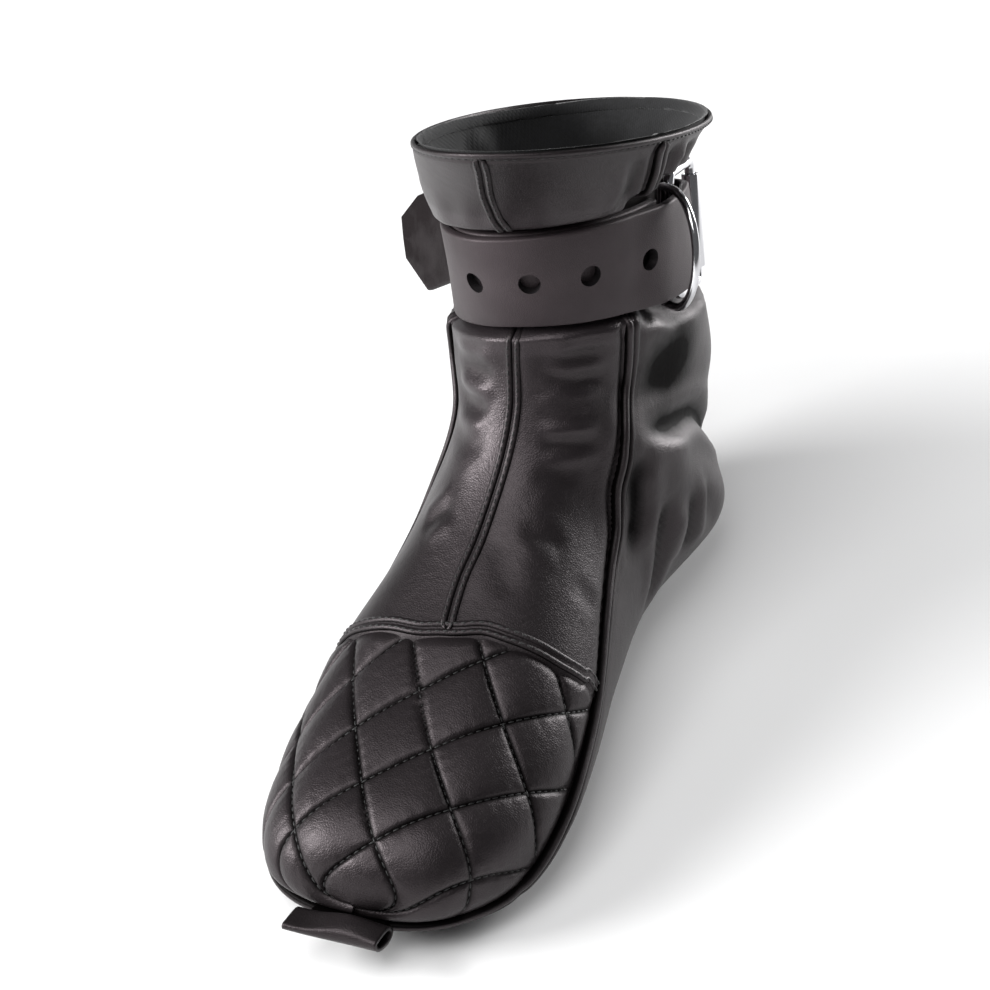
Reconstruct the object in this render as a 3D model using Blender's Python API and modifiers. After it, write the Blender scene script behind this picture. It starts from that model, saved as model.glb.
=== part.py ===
"""Padded leather ankle boot for the right foot, with a quilted toe and a buckled ankle strap.

The toe points to -Y, the medial side to +X and the boot stands on Z = 0, with the origin
in the middle of the heel's flat spot.
All driving sizes are in millimetres and become metres when a mesh is made.
"""

import math
from collections import namedtuple

import bmesh
import bpy
import numpy as np
from mathutils import Matrix, Vector

MM = 0.001
GAP = 0.3

# The drawing's point that becomes the origin: the middle of the heel's flat spot
ORIGIN = Vector((4.0, 28.0, 0.0))

# Sections of the last from the toe tip to the collar edge. Each lies in a plane through its
# top (dorsal) point and its base (sole, then heel back) point, widest by medial and lateral,
# and its medial edge rises by bank while its lateral edge sinks as far.
Section = namedtuple(
    "Section", "name top_y top_z base_y base_z medial lateral mid_x power egg bank"
)
LAST = (
    Section("tip", -208.0, 23.8, -208.0, 23.8, 0.1, 0.1, -0.5, 2.00, 0.00, 0.0),
    Section("toe_end", -203.5, 37.3, -204.8, 12.8, 24.0, 25.0, -1.2, 2.20, 0.06, 0.0),
    Section("toe", -191.0, 46.5, -194.0, 4.6, 37.6, 38.2, -1.2, 2.40, 0.12, 0.0),
    Section("toe_root", -168.0, 53.7, -175.0, -1.2, 46.6, 45.8, -0.3, 2.55, 0.18, 0.0),
    Section("ball", -138.0, 63.2, -149.0, -1.2, 50.6, 49.3, 0.2, 2.55, 0.22, 0.0),
    Section("vamp", -108.0, 75.4, -115.5, 0.6, 48.8, 47.3, 0.7, 2.50, 0.22, 0.0),
    Section("waist", -81.5, 89.3, -72.0, 3.0, 43.0, 42.3, 1.9, 2.40, 0.22, 0.0),
    Section("instep", -63.2, 104.0, -18.0, 2.6, 38.8, 40.7, 3.1, 2.30, 0.20, 0.0),
    Section("heel_seat", -52.4, 119.2, 46.4, -1.5, 46.0, 41.9, 4.0, 2.30, 0.15, 0.0),
    Section("heel", -46.6, 134.5, 75.6, 27.0, 39.8, 41.5, 2.2, 2.12, 0.00, 0.0),
    Section("ankle", -44.6, 149.4, 75.2, 80.0, 42.8, 42.2, 1.0, 2.15, 0.03, 3.5),
    Section("strap", -45.0, 164.0, 69.2, 126.0, 42.1, 39.6, -1.5, 2.08, 0.00, 7.0),
    Section("cuff", -46.0, 182.4, 68.0, 149.0, 42.0, 39.0, -2.6, 2.05, 0.00, 7.0),
    Section("neck", -49.4, 201.0, 70.6, 163.0, 46.4, 43.8, -1.0, 2.03, 0.00, 7.0),
    Section("collar", -61.0, 225.6, 74.0, 170.0, 51.6, 46.0, 1.2, 2.03, 0.02, 7.0),
)
LAST_TABLE = np.array([row[1:] for row in LAST])
LAST_STEPS = len(LAST) - 1
ROW = {row.name: index / LAST_STEPS for index, row in enumerate(LAST)}

# Shell
AROUND = 40
RING_CUTS = (3, 2, 2, 2, 2, 2, 2, 2, 3, 3, 6, 5, 3, 2)
UPPER_WALL = 2.8
SEAM_HEIGHT = 11.0
SOLE_WALL = 4.5
INSOLE_TOP = 10.0
SLOPE_STEP = 1e-3
POLE_STEP = 0.012
PATH_SAMPLES = 13
CUTTER_REACH = 400.0

# Quilted toe cap
CAP_PROUD = 2.4
CAP_SEAT = 0.75
CAP_ROW = 4.70 / LAST_STEPS
CAP_SWEEP = 0.48 / LAST_STEPS
CAP_RINGS = 10
CAP_EDGE_FRONT = (-175.0, 12.0)
CAP_EDGE_BACK = (-40.0, 62.0)
TRIM_HALF = 90.0
TRIM_FRONT = -260.0
TRIM_DEEP = -60.0

# Pull loop at the toe
LOOP_LENGTH = 35.0
LOOP_DEPTH = 12.0
LOOP_HEIGHT = 9.6
LOOP_WALL = 1.5
LOOP_SIDES = 24
LOOP_CENTRE = (-3.6, -216.3, 16.4)
LOOP_TILT = math.radians(-12.0)

# Ankle strap: angles run round the ankle from the front seam, medial side positive
STRAP_HALF = 18.0
STRAP_THICK = 3.2
CINCH = 8.0
CINCH_EASE = 9.0
CINCH_LIP = 4.0
LATERAL_PULL = 3.0
HARDWARE_LIP = 4.5
HARDWARE_SPAN = (70.0, 140.0)
HARDWARE_EASE = 14.0
STRAP_SEAT = -6.7
STRAP_START = 82.0
STRAP_UNDER_ROLLER = 121.0
STRAP_ON_KEEPER = 108.0
STRAP_OFF_KEEPER = 82.0
STRAP_SETTLED = 60.0
KEEPER_LIFT = 6.1
SECOND_TURN_LIFT = 3.6
STRAP_LEAVES = -96.0
STRAP_PITCH = 6.0
TAIL_LENGTH = 58.0
TAIL_STEPS = 10
TAIL_FLARE = math.radians(49.0)
TAIL_BEND = 11.0
TAIL_DROP = math.radians(26.0)
TAIL_SINK = 44.0
TIP_LENGTH = 17.0
TIP_HALF = 8.5
TIP_RISE = 4.7
HOLE_RADIUS = 3.6
HOLE_ANGLES = (-15.0, 13.0, 40.5, 70.0)
HOLE_REACH = 6.0
HOLE_BITE = 0.2

# Keeper, D-ring and roller buckle
KEEPER_SPAN = (84.0, 107.0)
KEEPER_HALF = 11.0
KEEPER_THICK = 5.4
KEEPER_STEPS = 6
BAR_HEIGHT = STRAP_SEAT + KEEPER_THICK / 2.0
RING_ANGLE = 89.0
RING_WIRE = 1.5
RING_HALF = 21.0
RING_STRAIGHT = 7.0
RING_DEPTH = 15.0
RING_LEAN = math.radians(-38.0)
RING_ARC_STEPS = 16
WIRE_SIDES = 4
FRAME_HEEL = 102.5
FRAME_ROLLER = 126.0
FRAME_HALF = 22.0
FRAME_WIRE = 1.9
FRAME_CORNER = 3.0
FRAME_CORNER_STEPS = 4
ROLLER_LIFT = 9.2
ROLLER_RADIUS = 3.2
ROLLER_BORE = 2.2
ROLLER_HALF = 17.0
BORE_SIDES = 20


def smooth(value):
    """Ease from 0 to 1 between the values 0 and 1."""
    t = np.clip(value, 0.0, 1.0)
    return t * t * (3.0 - 2.0 * t)


def last_values(v):
    """Section sizes at v, 0 at the toe tip and 1 at the collar, as one array per column."""
    place = np.clip(v, 0.0, 1.0) * LAST_STEPS
    row = np.minimum(place.astype(int), LAST_STEPS - 1)
    t = (place - row)[..., None]
    before, start, end, after = (
        LAST_TABLE[np.clip(row + step, 0, LAST_STEPS)] for step in (-1, 0, 1, 2)
    )
    value = 0.5 * (
        2.0 * start
        + (end - before) * t
        + (2.0 * before - 5.0 * start + 4.0 * end - after) * t**2
        + (3.0 * start - before - 3.0 * end + after) * t**3
    )
    return np.moveaxis(value, -1, 0)


def envelope(v, theta):
    """Outer form of the boot without the strap's groove; theta is 0 on the front seam."""
    v, theta = np.broadcast_arrays(np.asarray(v, float), np.asarray(theta, float))
    top_y, top_z, base_y, base_z, medial, lateral, mid_x, power, egg, bank = last_values(v)
    cosine, sine = np.cos(theta), np.sin(theta)
    along = np.sign(cosine) * np.abs(cosine) ** (2.0 / power)
    across = np.sign(sine) * np.abs(sine) ** (2.0 / power)
    width = np.where(sine > 0.0, medial, lateral)
    x = mid_x + width * across * (1.0 - egg * cosine)
    y = (top_y + base_y) / 2.0 + (top_y - base_y) / 2.0 * along
    z = (top_z + base_z) / 2.0 + (top_z - base_z) / 2.0 * along + bank * across
    return np.stack([x, y, z], axis=-1)


def outward(v, theta):
    """Unit normals of the envelope."""
    v = np.maximum(v, POLE_STEP)
    along = envelope(v + SLOPE_STEP, theta) - envelope(v - SLOPE_STEP, theta)
    round_it = envelope(v, theta + SLOPE_STEP) - envelope(v, theta - SLOPE_STEP)
    normal = np.cross(round_it, along)
    return normal / np.linalg.norm(normal, axis=-1, keepdims=True)


def strap_distance(v, theta):
    """Signed length over the envelope from the strap's middle line, up the shaft positive."""
    v, theta = np.broadcast_arrays(np.asarray(v, float), np.asarray(theta, float))
    share = np.linspace(0.0, 1.0, PATH_SAMPLES)
    path = envelope(ROW["strap"] + (v - ROW["strap"])[..., None] * share, theta[..., None])
    length = np.linalg.norm(np.diff(path, axis=-2), axis=-1).sum(axis=-1)
    return np.sign(v - ROW["strap"]) * length


def lateral_pull(theta):
    """Depth by which the tightened strap lies deeper on the lateral side."""
    return LATERAL_PULL * smooth(-np.sin(theta))


def groove(v, theta):
    """Depth to which the strap draws the padded shaft in, wider beside the metal parts."""
    degrees = np.degrees(np.arctan2(np.sin(theta), np.cos(theta)))
    first, last = HARDWARE_SPAN
    rise = smooth((degrees - first) / HARDWARE_EASE)
    fall = smooth((last - degrees) / HARDWARE_EASE)
    flat = STRAP_HALF + CINCH_LIP + HARDWARE_LIP * rise * fall
    beyond = np.abs(strap_distance(v, theta)) - flat
    return (CINCH + lateral_pull(theta)) * (1.0 - smooth(beyond / CINCH_EASE))


def surface(v, theta, offset=0.0):
    """Points on the boot's outer face, moved out by offset."""
    v, theta = np.broadcast_arrays(np.asarray(v, float), np.asarray(theta, float))
    lift = offset - groove(v, theta)
    return envelope(v, theta) + outward(v, theta) * lift[..., None]


def new_object(name, mesh, collection, material=None):
    """Link an object for a mesh and give it its material."""
    item = bpy.data.objects.new(name, mesh)
    collection.objects.link(item)
    if material:
        mesh.materials.append(material)
    return item


def mesh_from(name, bm, keep_sides=False):
    """Turn a bmesh in millimetres into a mesh in metres, faces turned out unless kept."""
    if not keep_sides:
        bmesh.ops.recalc_face_normals(bm, faces=bm.faces)
    bmesh.ops.translate(bm, vec=-ORIGIN, verts=bm.verts)
    bmesh.ops.scale(bm, vec=(MM, MM, MM), verts=bm.verts)
    mesh = bpy.data.meshes.new(name)
    bm.to_mesh(mesh)
    bm.free()
    return mesh


def loft(bm, rings):
    """Bridge rings of points with quads."""
    rows = [[bm.verts.new(point) for point in ring] for ring in rings]
    for low, high in zip(rows, rows[1:]):
        for k in range(len(low)):
            after = (k + 1) % len(low)
            bm.faces.new((low[k], low[after], high[after], high[k]))
    return rows


def sock_mesh(name, offset, stations, capped=False):
    """Sock-shaped mesh: a point at the toe, then one ring for each row of stations."""
    theta = np.linspace(0.0, 2.0 * math.pi, AROUND, endpoint=False)
    bm = bmesh.new()
    rows = loft(bm, [surface(v, theta, offset).tolist() for v in stations])
    tip = bm.verts.new((LAST[0].mid_x, LAST[0].top_y - offset, LAST[0].top_z))
    for k, vert in enumerate(rows[0]):
        bm.faces.new((tip, rows[0][(k + 1) % AROUND], vert))
    if capped:
        bm.faces.new(rows[-1])
    return mesh_from(name, bm, keep_sides=True)


def ring_stations():
    """Ring places from the toe to the collar, closer at the toe and under the strap."""
    places = [
        (row + cut / cuts) / LAST_STEPS
        for row, cuts in enumerate(RING_CUTS)
        for cut in range(cuts)
    ]
    return places[1:] + [1.0]


def box(name, low, high, collection):
    """Block between two corners, used as a cutter."""
    bm = bmesh.new()
    size = [b - a for a, b in zip(low, high)]
    middle = [(a + b) / 2.0 for a, b in zip(low, high)]
    place = Matrix.Translation(middle) @ Matrix.Diagonal((*size, 1.0))
    bmesh.ops.create_cube(bm, size=1.0, matrix=place)
    return as_cutter(new_object(name, mesh_from(name, bm), collection))


def as_cutter(item):
    """Keep a cutter out of renders and draw it as wire."""
    item.hide_render = True
    item.display_type = "WIRE"
    return item


def solidify(item, thick, side):
    """Give a surface a wall, inwards for side -1 and outwards for side 1."""
    wall = item.modifiers.new("wall", "SOLIDIFY")
    wall.thickness = thick * MM
    wall.offset = side
    wall.use_even_offset = True


def boolean(item, cutter, operation="DIFFERENCE"):
    """Cut an object with another."""
    cut = item.modifiers.new(cutter.name, "BOOLEAN")
    cut.operation = operation
    cut.solver = "EXACT"
    cut.object = cutter


def cylinder(name, centre, axis, radius, half, collection):
    """Round rod along an axis, as an object."""
    bm = bmesh.new()
    turn = Vector(axis).to_track_quat("Z", "Y").to_matrix().to_4x4()
    place = Matrix.Translation(centre) @ turn
    bmesh.ops.create_cone(
        bm,
        cap_ends=True,
        segments=BORE_SIDES,
        radius1=radius,
        radius2=radius,
        depth=2.0 * half,
        matrix=place,
    )
    return new_object(name, mesh_from(name, bm), collection)


def wire_loop(name, points, radius, origin, collection, material):
    """Closed loop of round wire through the points, with its origin given."""
    curve = bpy.data.curves.new(name, "CURVE")
    curve.dimensions = "3D"
    curve.bevel_depth = radius * MM
    curve.bevel_resolution = WIRE_SIDES
    spline = curve.splines.new("POLY")
    spline.points.add(len(points) - 1)
    for knot, point in zip(spline.points, points):
        knot.co = (*((Vector(point) - Vector(origin)) * MM), 1.0)
    spline.use_cyclic_u = True
    shape = bpy.data.objects.new(name + "_path", curve)
    mesh = bpy.data.meshes.new_from_object(shape)
    bpy.data.objects.remove(shape)
    mesh.name = name
    bm = bmesh.new()
    bm.from_mesh(mesh)
    bmesh.ops.recalc_face_normals(bm, faces=bm.faces)
    bm.to_mesh(mesh)
    bm.free()
    item = new_object(name, mesh, collection, material)
    item.location = (Vector(origin) - ORIGIN) * MM
    return item


def strap_frame(angle):
    """Middle point, tangent, normal and width axis of the strap's seat at an angle."""
    theta = math.radians(angle)
    around = theta + SLOPE_STEP * np.array([0.0, 1.0, -1.0])
    here, ahead, behind = envelope(ROW["strap"], around)
    tangent = Vector(ahead - behind).normalized()
    normal = Vector(outward(np.array(ROW["strap"]), np.array(theta)))
    normal = (normal - tangent * normal.dot(tangent)).normalized()
    return Vector(here), tangent, normal, normal.cross(tangent)


def on_strap(angle, height):
    """Point on the strap's middle line, height above the boot's envelope."""
    middle, _, normal, _ = strap_frame(angle)
    return middle + normal * height


def band_section(middle, normal, axis, half, thick):
    """Four corners of a flat band's section, inner face first."""
    outer = middle + normal * thick
    return [middle - axis * half, middle + axis * half, outer + axis * half, outer - axis * half]


def strap_height(angle):
    """Height of the strap's inner face; angle falls by a full turn for the second layer."""
    second = angle + 360.0
    climb = smooth((STRAP_UNDER_ROLLER - second) / (STRAP_UNDER_ROLLER - STRAP_ON_KEEPER))
    settle = smooth((STRAP_OFF_KEEPER - second) / (STRAP_OFF_KEEPER - STRAP_SETTLED))
    seat = STRAP_SEAT - lateral_pull(math.radians(angle))
    return seat + KEEPER_LIFT * climb - (KEEPER_LIFT - SECOND_TURN_LIFT) * settle


def strap_sections():
    """Sections of the ankle strap from its sewn end, round the ankle, to the tail's point."""
    finish = STRAP_LEAVES - 360.0
    count = int(round((STRAP_START - finish) / STRAP_PITCH))
    sections = []
    for angle in np.linspace(STRAP_START, finish, count + 1):
        _, _, normal, axis = strap_frame(angle)
        seat = on_strap(angle, float(strap_height(angle)))
        sections.append(band_section(seat, normal, axis, STRAP_HALF, STRAP_THICK))
    return sections + tail_sections()


def tail_sections():
    """Sections of the strap's loose tail, which springs off the ankle and hangs a little."""
    _, tangent, normal, axis = strap_frame(STRAP_LEAVES)
    place = on_strap(STRAP_LEAVES, float(strap_height(STRAP_LEAVES - 360.0)))
    step = TAIL_LENGTH / TAIL_STEPS
    sections = []
    for reach in np.linspace(step, TAIL_LENGTH, TAIL_STEPS):
        flare = TAIL_FLARE * float(smooth(reach / TAIL_BEND))
        drop = TAIL_DROP * float(smooth(reach / TAIL_SINK))
        ahead = normal * math.sin(flare) - tangent * math.cos(flare)
        face = normal * math.cos(flare) + tangent * math.sin(flare)
        run = ahead * math.cos(drop) - axis * math.sin(drop)
        upright = axis * math.cos(drop) + ahead * math.sin(drop)
        place = place + run * step
        sections.append(band_section(place, face, upright, STRAP_HALF, STRAP_THICK))
    tip = place + run * TIP_LENGTH + upright * TIP_RISE
    sections.append(band_section(tip, face, upright, TIP_HALF, STRAP_THICK))
    return sections


def band_mesh(name, sections):
    """Closed solid through four-cornered sections, in triangles because its quads are twisted."""
    bm = bmesh.new()
    rows = loft(bm, sections)
    bm.faces.new(rows[0][::-1])
    bm.faces.new(rows[-1])
    bmesh.ops.triangulate(bm, faces=bm.faces)
    return mesh_from(name, bm)


def material(name, colour, metallic, roughness):
    """Plain Principled material."""
    made = bpy.data.materials.new(name)
    made.use_nodes = True
    shader = made.node_tree.nodes["Principled BSDF"]
    shader.inputs["Base Color"].default_value = (*colour, 1.0)
    shader.inputs["Metallic"].default_value = metallic
    shader.inputs["Roughness"].default_value = roughness
    return made


def build_shell(parts, cutters, skins):
    """Sole, insole, hollow upper and the quilted toe cap over it."""
    reach = CUTTER_REACH
    under = (-reach, -reach, -reach)
    ground = (-reach, -reach, 0.0)
    half_gap = GAP / 2.0
    stations = ring_stations()
    below = box("below_seam", under, (reach, reach, SEAM_HEIGHT + half_gap), cutters)
    sole_room = box("sole_room", ground, (reach, reach, SEAM_HEIGHT - half_gap), cutters)
    bed_room = box("bed_room", under, (reach, reach, INSOLE_TOP), cutters)

    upper = new_object("upper", sock_mesh("upper", 0.0, stations), parts, skins["leather"])
    solidify(upper, UPPER_WALL, -1.0)
    boolean(upper, below)

    foot = [v for v in stations if v <= ROW["ankle"]]
    sole = new_object("sole", sock_mesh("sole", 0.0, foot), parts, skins["sole"])
    solidify(sole, SOLE_WALL, -1.0)
    boolean(sole, sole_room, "INTERSECT")

    bed = sock_mesh("insole", -SOLE_WALL - 2.0 * GAP, foot, capped=True)
    insole = new_object("insole", bed, parts, skins["lining"])
    boolean(insole, bed_room, "INTERSECT")

    cap = new_object("toe_cap", toe_cap_mesh(), parts, skins["leather"])
    solidify(cap, CAP_PROUD, 1.0)
    boolean(cap, toe_cap_trim(cutters))


def toe_cap_mesh():
    """Skin over the toe up to the cap seam, a gap above the upper."""
    theta = np.linspace(0.0, 2.0 * math.pi, AROUND, endpoint=False)
    edge = CAP_ROW + CAP_SWEEP * np.sin(theta / 2.0) ** 2 * 2.0
    bm = bmesh.new()
    shares = np.linspace(0.0, 1.0, CAP_RINGS + 1)[1:]
    rows = loft(bm, [surface(edge * share, theta, CAP_SEAT).tolist() for share in shares])
    tip = bm.verts.new((LAST[0].mid_x, LAST[0].top_y - CAP_SEAT, LAST[0].top_z))
    for k, vert in enumerate(rows[0]):
        bm.faces.new((tip, rows[0][(k + 1) % AROUND], vert))
    return mesh_from("toe_cap", bm, keep_sides=True)


def toe_cap_trim(cutters):
    """Prism that takes away the cap below its side seams."""
    front_y, front_z = CAP_EDGE_FRONT
    back_y, back_z = CAP_EDGE_BACK
    outline = [
        (TRIM_FRONT, TRIM_DEEP),
        (back_y, TRIM_DEEP),
        (back_y, back_z),
        (front_y, front_z),
        (TRIM_FRONT, front_z),
    ]
    bm = bmesh.new()
    face = bm.faces.new([bm.verts.new((-TRIM_HALF, y, z)) for y, z in outline])
    swept = bmesh.ops.extrude_face_region(bm, geom=[face])
    moved = [part for part in swept["geom"] if isinstance(part, bmesh.types.BMVert)]
    bmesh.ops.translate(bm, vec=(2.0 * TRIM_HALF, 0.0, 0.0), verts=moved)
    return as_cutter(new_object("cap_trim", mesh_from("cap_trim", bm), cutters))


def build_toe_loop(parts, skins):
    """Pull loop: a strip folded into a flat tube across the toe."""
    bm = bmesh.new()
    bmesh.ops.create_circle(bm, segments=LOOP_SIDES, radius=1.0)
    bmesh.ops.scale(bm, vec=(LOOP_DEPTH / 2.0, LOOP_HEIGHT / 2.0, 1.0), verts=bm.verts)
    swept = bmesh.ops.extrude_edge_only(bm, edges=bm.edges[:])
    moved = [part for part in swept["geom"] if isinstance(part, bmesh.types.BMVert)]
    bmesh.ops.translate(bm, vec=(0.0, 0.0, LOOP_LENGTH), verts=moved)
    bmesh.ops.translate(bm, vec=(0.0, 0.0, -LOOP_LENGTH / 2.0), verts=bm.verts)
    lie = Matrix(((0.0, 0.0, 1.0), (1.0, 0.0, 0.0), (0.0, 1.0, 0.0))).to_4x4()
    place = Matrix.Translation(LOOP_CENTRE) @ Matrix.Rotation(LOOP_TILT, 4, "X") @ lie
    bmesh.ops.transform(bm, matrix=place, verts=bm.verts)
    loop = new_object("toe_loop", mesh_from("toe_loop", bm), parts, skins["leather"])
    solidify(loop, LOOP_WALL, -1.0)


def build_strap(parts, cutters, skins):
    """Ankle strap with its row of holes."""
    band = band_mesh("ankle_strap", strap_sections())
    strap = new_object("ankle_strap", band, parts, skins["strap"])
    for index, angle in enumerate(HOLE_ANGLES):
        _, _, normal, _ = strap_frame(angle)
        low = float(strap_height(angle - 360.0)) - HOLE_BITE
        centre = on_strap(angle, low + HOLE_REACH / 2.0)
        name = f"strap_hole_{index + 1}"
        punch = cylinder(name, centre, normal, HOLE_RADIUS, HOLE_REACH / 2.0, cutters)
        boolean(strap, as_cutter(punch))


def build_keeper(parts, cutters, skins):
    """Leather keeper at the strap's sewn end, bored for the ring's bar and the buckle's bar."""
    first, last = KEEPER_SPAN
    sections = []
    for angle in np.linspace(first, last, KEEPER_STEPS + 1):
        _, _, normal, axis = strap_frame(angle)
        sections.append(
            band_section(on_strap(angle, STRAP_SEAT), normal, axis, KEEPER_HALF, KEEPER_THICK)
        )
    keeper = new_object("bar_keeper", band_mesh("bar_keeper", sections), parts, skins["strap"])
    for name, angle, wire in (("ring", RING_ANGLE, RING_WIRE), ("buckle", FRAME_HEEL, FRAME_WIRE)):
        _, _, _, axis = strap_frame(angle)
        centre = on_strap(angle, BAR_HEIGHT)
        bore = cylinder(name + "_bore", centre, axis, wire + GAP, FRAME_HALF, cutters)
        boolean(keeper, as_cutter(bore))


def build_ring(parts, skins):
    """D-ring whose straight bar lies in the keeper and whose bow stands off the strap."""
    _, tangent, normal, axis = strap_frame(RING_ANGLE)
    bar = on_strap(RING_ANGLE, BAR_HEIGHT)
    out = normal * math.cos(RING_LEAN) + tangent * math.sin(RING_LEAN)
    points = []
    for step in range(RING_ARC_STEPS + 1):
        turn = math.pi * step / RING_ARC_STEPS
        reach = RING_STRAIGHT + RING_DEPTH * math.sin(turn)
        points.append(bar + axis * RING_HALF * math.cos(turn) + out * reach)
    corners = ((-1.0, 0.0, 1.0), (-1.0, 1.0, 0.0), (1.0, 1.0, 0.0), (1.0, 0.0, 1.0))
    for side, inset, rise in corners:
        end = axis * side * (RING_HALF - inset * RING_WIRE)
        points.append(bar + end + out * rise * RING_WIRE)
    wire_loop("d_ring", points, RING_WIRE, bar, parts, skins["steel"])


def build_buckle(parts, cutters, skins):
    """Roller buckle: a closed frame round the strap and the roller on its outer bar."""
    _, _, _, axis = strap_frame(FRAME_HEEL)
    heel = on_strap(FRAME_HEEL, BAR_HEIGHT)
    span = on_strap(FRAME_ROLLER, STRAP_SEAT + ROLLER_LIFT) - heel
    span = span - axis * span.dot(axis)
    along = span.normalized()
    points = []
    corners = ((0.0, -1.0, 180.0), (1.0, -1.0, 270.0), (1.0, 1.0, 0.0), (0.0, 1.0, 90.0))
    for end, side, start in corners:
        inset = FRAME_CORNER if end == 0.0 else -FRAME_CORNER
        centre = heel + span * end + along * inset + axis * side * (FRAME_HALF - FRAME_CORNER)
        for step in range(FRAME_CORNER_STEPS + 1):
            turn = math.radians(start + 90.0 * step / FRAME_CORNER_STEPS)
            points.append(centre + (along * math.cos(turn) + axis * math.sin(turn)) * FRAME_CORNER)
    wire_loop("buckle_frame", points, FRAME_WIRE, heel, parts, skins["steel"])
    roller = cylinder("buckle_roller", heel + span, axis, ROLLER_RADIUS, ROLLER_HALF, parts)
    roller.data.materials.append(skins["steel"])
    bore = cylinder("roller_bore", heel + span, axis, ROLLER_BORE, FRAME_HALF, cutters)
    boolean(roller, as_cutter(bore))


def main():
    """Build every piece of the boot."""
    for item in list(bpy.data.objects):
        bpy.data.objects.remove(item, do_unlink=True)
    parts = bpy.data.collections.new("restraint_boot")
    cutters = bpy.data.collections.new("cutters")
    for group in (parts, cutters):
        bpy.context.scene.collection.children.link(group)
    skins = {
        "leather": material("black_leather", (0.020, 0.019, 0.020), 0.0, 0.45),
        "sole": material("sole_leather", (0.012, 0.011, 0.012), 0.0, 0.70),
        "lining": material("black_lining", (0.015, 0.015, 0.016), 0.0, 0.85),
        "strap": material("strap_leather", (0.035, 0.033, 0.034), 0.0, 0.55),
        "steel": material("chromed_steel", (0.60, 0.60, 0.62), 1.0, 0.12),
    }
    build_shell(parts, cutters, skins)
    build_toe_loop(parts, skins)
    build_strap(parts, cutters, skins)
    build_keeper(parts, cutters, skins)
    build_ring(parts, skins)
    build_buckle(parts, cutters, skins)


main()
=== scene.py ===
"""Looks of a padded leather ankle boot for the right foot, with a quilted toe and a buckled strap.

Sizes are in millimetres and angles in degrees, on the boot's own last: a row runs from 0 at
the toe tip to 14 at the collar, and an angle runs round each row from the front seam, positive
towards the medial side. Meshes are made in metres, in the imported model's frame.
"""

import logging
import math
from dataclasses import dataclass, field
from enum import Enum
from typing import Any, Callable

import bmesh
import bpy
import numpy as np
from mathutils import Matrix, Vector


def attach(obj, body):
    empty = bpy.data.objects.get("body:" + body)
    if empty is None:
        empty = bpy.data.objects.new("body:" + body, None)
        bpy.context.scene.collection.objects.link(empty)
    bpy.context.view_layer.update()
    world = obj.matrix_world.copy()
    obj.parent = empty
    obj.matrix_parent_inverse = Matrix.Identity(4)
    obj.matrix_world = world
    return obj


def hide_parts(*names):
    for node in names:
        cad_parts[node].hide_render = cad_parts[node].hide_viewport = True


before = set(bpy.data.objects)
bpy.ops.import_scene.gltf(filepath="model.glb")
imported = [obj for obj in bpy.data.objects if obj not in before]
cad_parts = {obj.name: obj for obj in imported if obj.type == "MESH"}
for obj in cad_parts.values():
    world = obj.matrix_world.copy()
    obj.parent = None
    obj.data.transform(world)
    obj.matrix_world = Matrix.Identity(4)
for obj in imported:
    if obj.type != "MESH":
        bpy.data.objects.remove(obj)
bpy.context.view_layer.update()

MM = 0.001
ROWS = 14
UP = (0.0, 0.0, 1.0)
LOG = logging.getLogger("boot")
Array = np.ndarray
Path2 = tuple[tuple[float, float], ...]
Placing = Callable[[Array, Array], tuple[Array, Array]]
# Turn of a wave texture over one unit at scale 1
WAVE_RADIANS = 20.0
# Heights on a seam in millimetres, and the fold marks there: painted shade darkens the ditches, and wear
# lightens the ribs
SHADE_AND_WEAR_BY_HEIGHT = ((0.0, 0.9), (-0.4, 0.08))


class Body(Enum):
    """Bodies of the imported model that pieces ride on."""

    BOOT = "boot"
    RING = "ring"


class Slot(Enum):
    """Material slots of the record."""

    LEATHER = "leather"
    SOLE = "sole"
    LINING = "lining"
    STRAP = "strap"
    STEEL = "steel"


def ease(value: Array | float) -> Array:
    """Smooth step from 0 to 1 between the values 0 and 1."""
    share = np.clip(value, 0.0, 1.0)
    return share * share * (3.0 - 2.0 * share)


def hump(distance: Array, width: float) -> Array:
    """Bell of height 1 over a distance."""
    return np.exp(-((distance / width) ** 2))


def unit(vectors: Array) -> Array:
    """Vectors brought to length 1."""
    return vectors / np.maximum(np.linalg.norm(vectors, axis=-1, keepdims=True), 1e-9)


def spline(table: Array, place: Array) -> Array:
    """Points on a smooth curve through the rows of a table.

    Args:
        table: Rows that the curve passes, with one more row beyond each end.
        place: Places along the curve, 0 at the table's second row.

    Returns:
        One row for each place.
    """
    low = np.minimum(place.astype(int), len(table) - 4)
    t = (place - low)[..., None]
    before, start, end, after = (table[low + step] for step in range(4))
    bend = 2.0 * before - 5.0 * start + 4.0 * end - after
    twist = 3.0 * start - before - 3.0 * end + after
    return 0.5 * (2.0 * start + (end - before) * t + bend * t**2 + twist * t**3)


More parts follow.
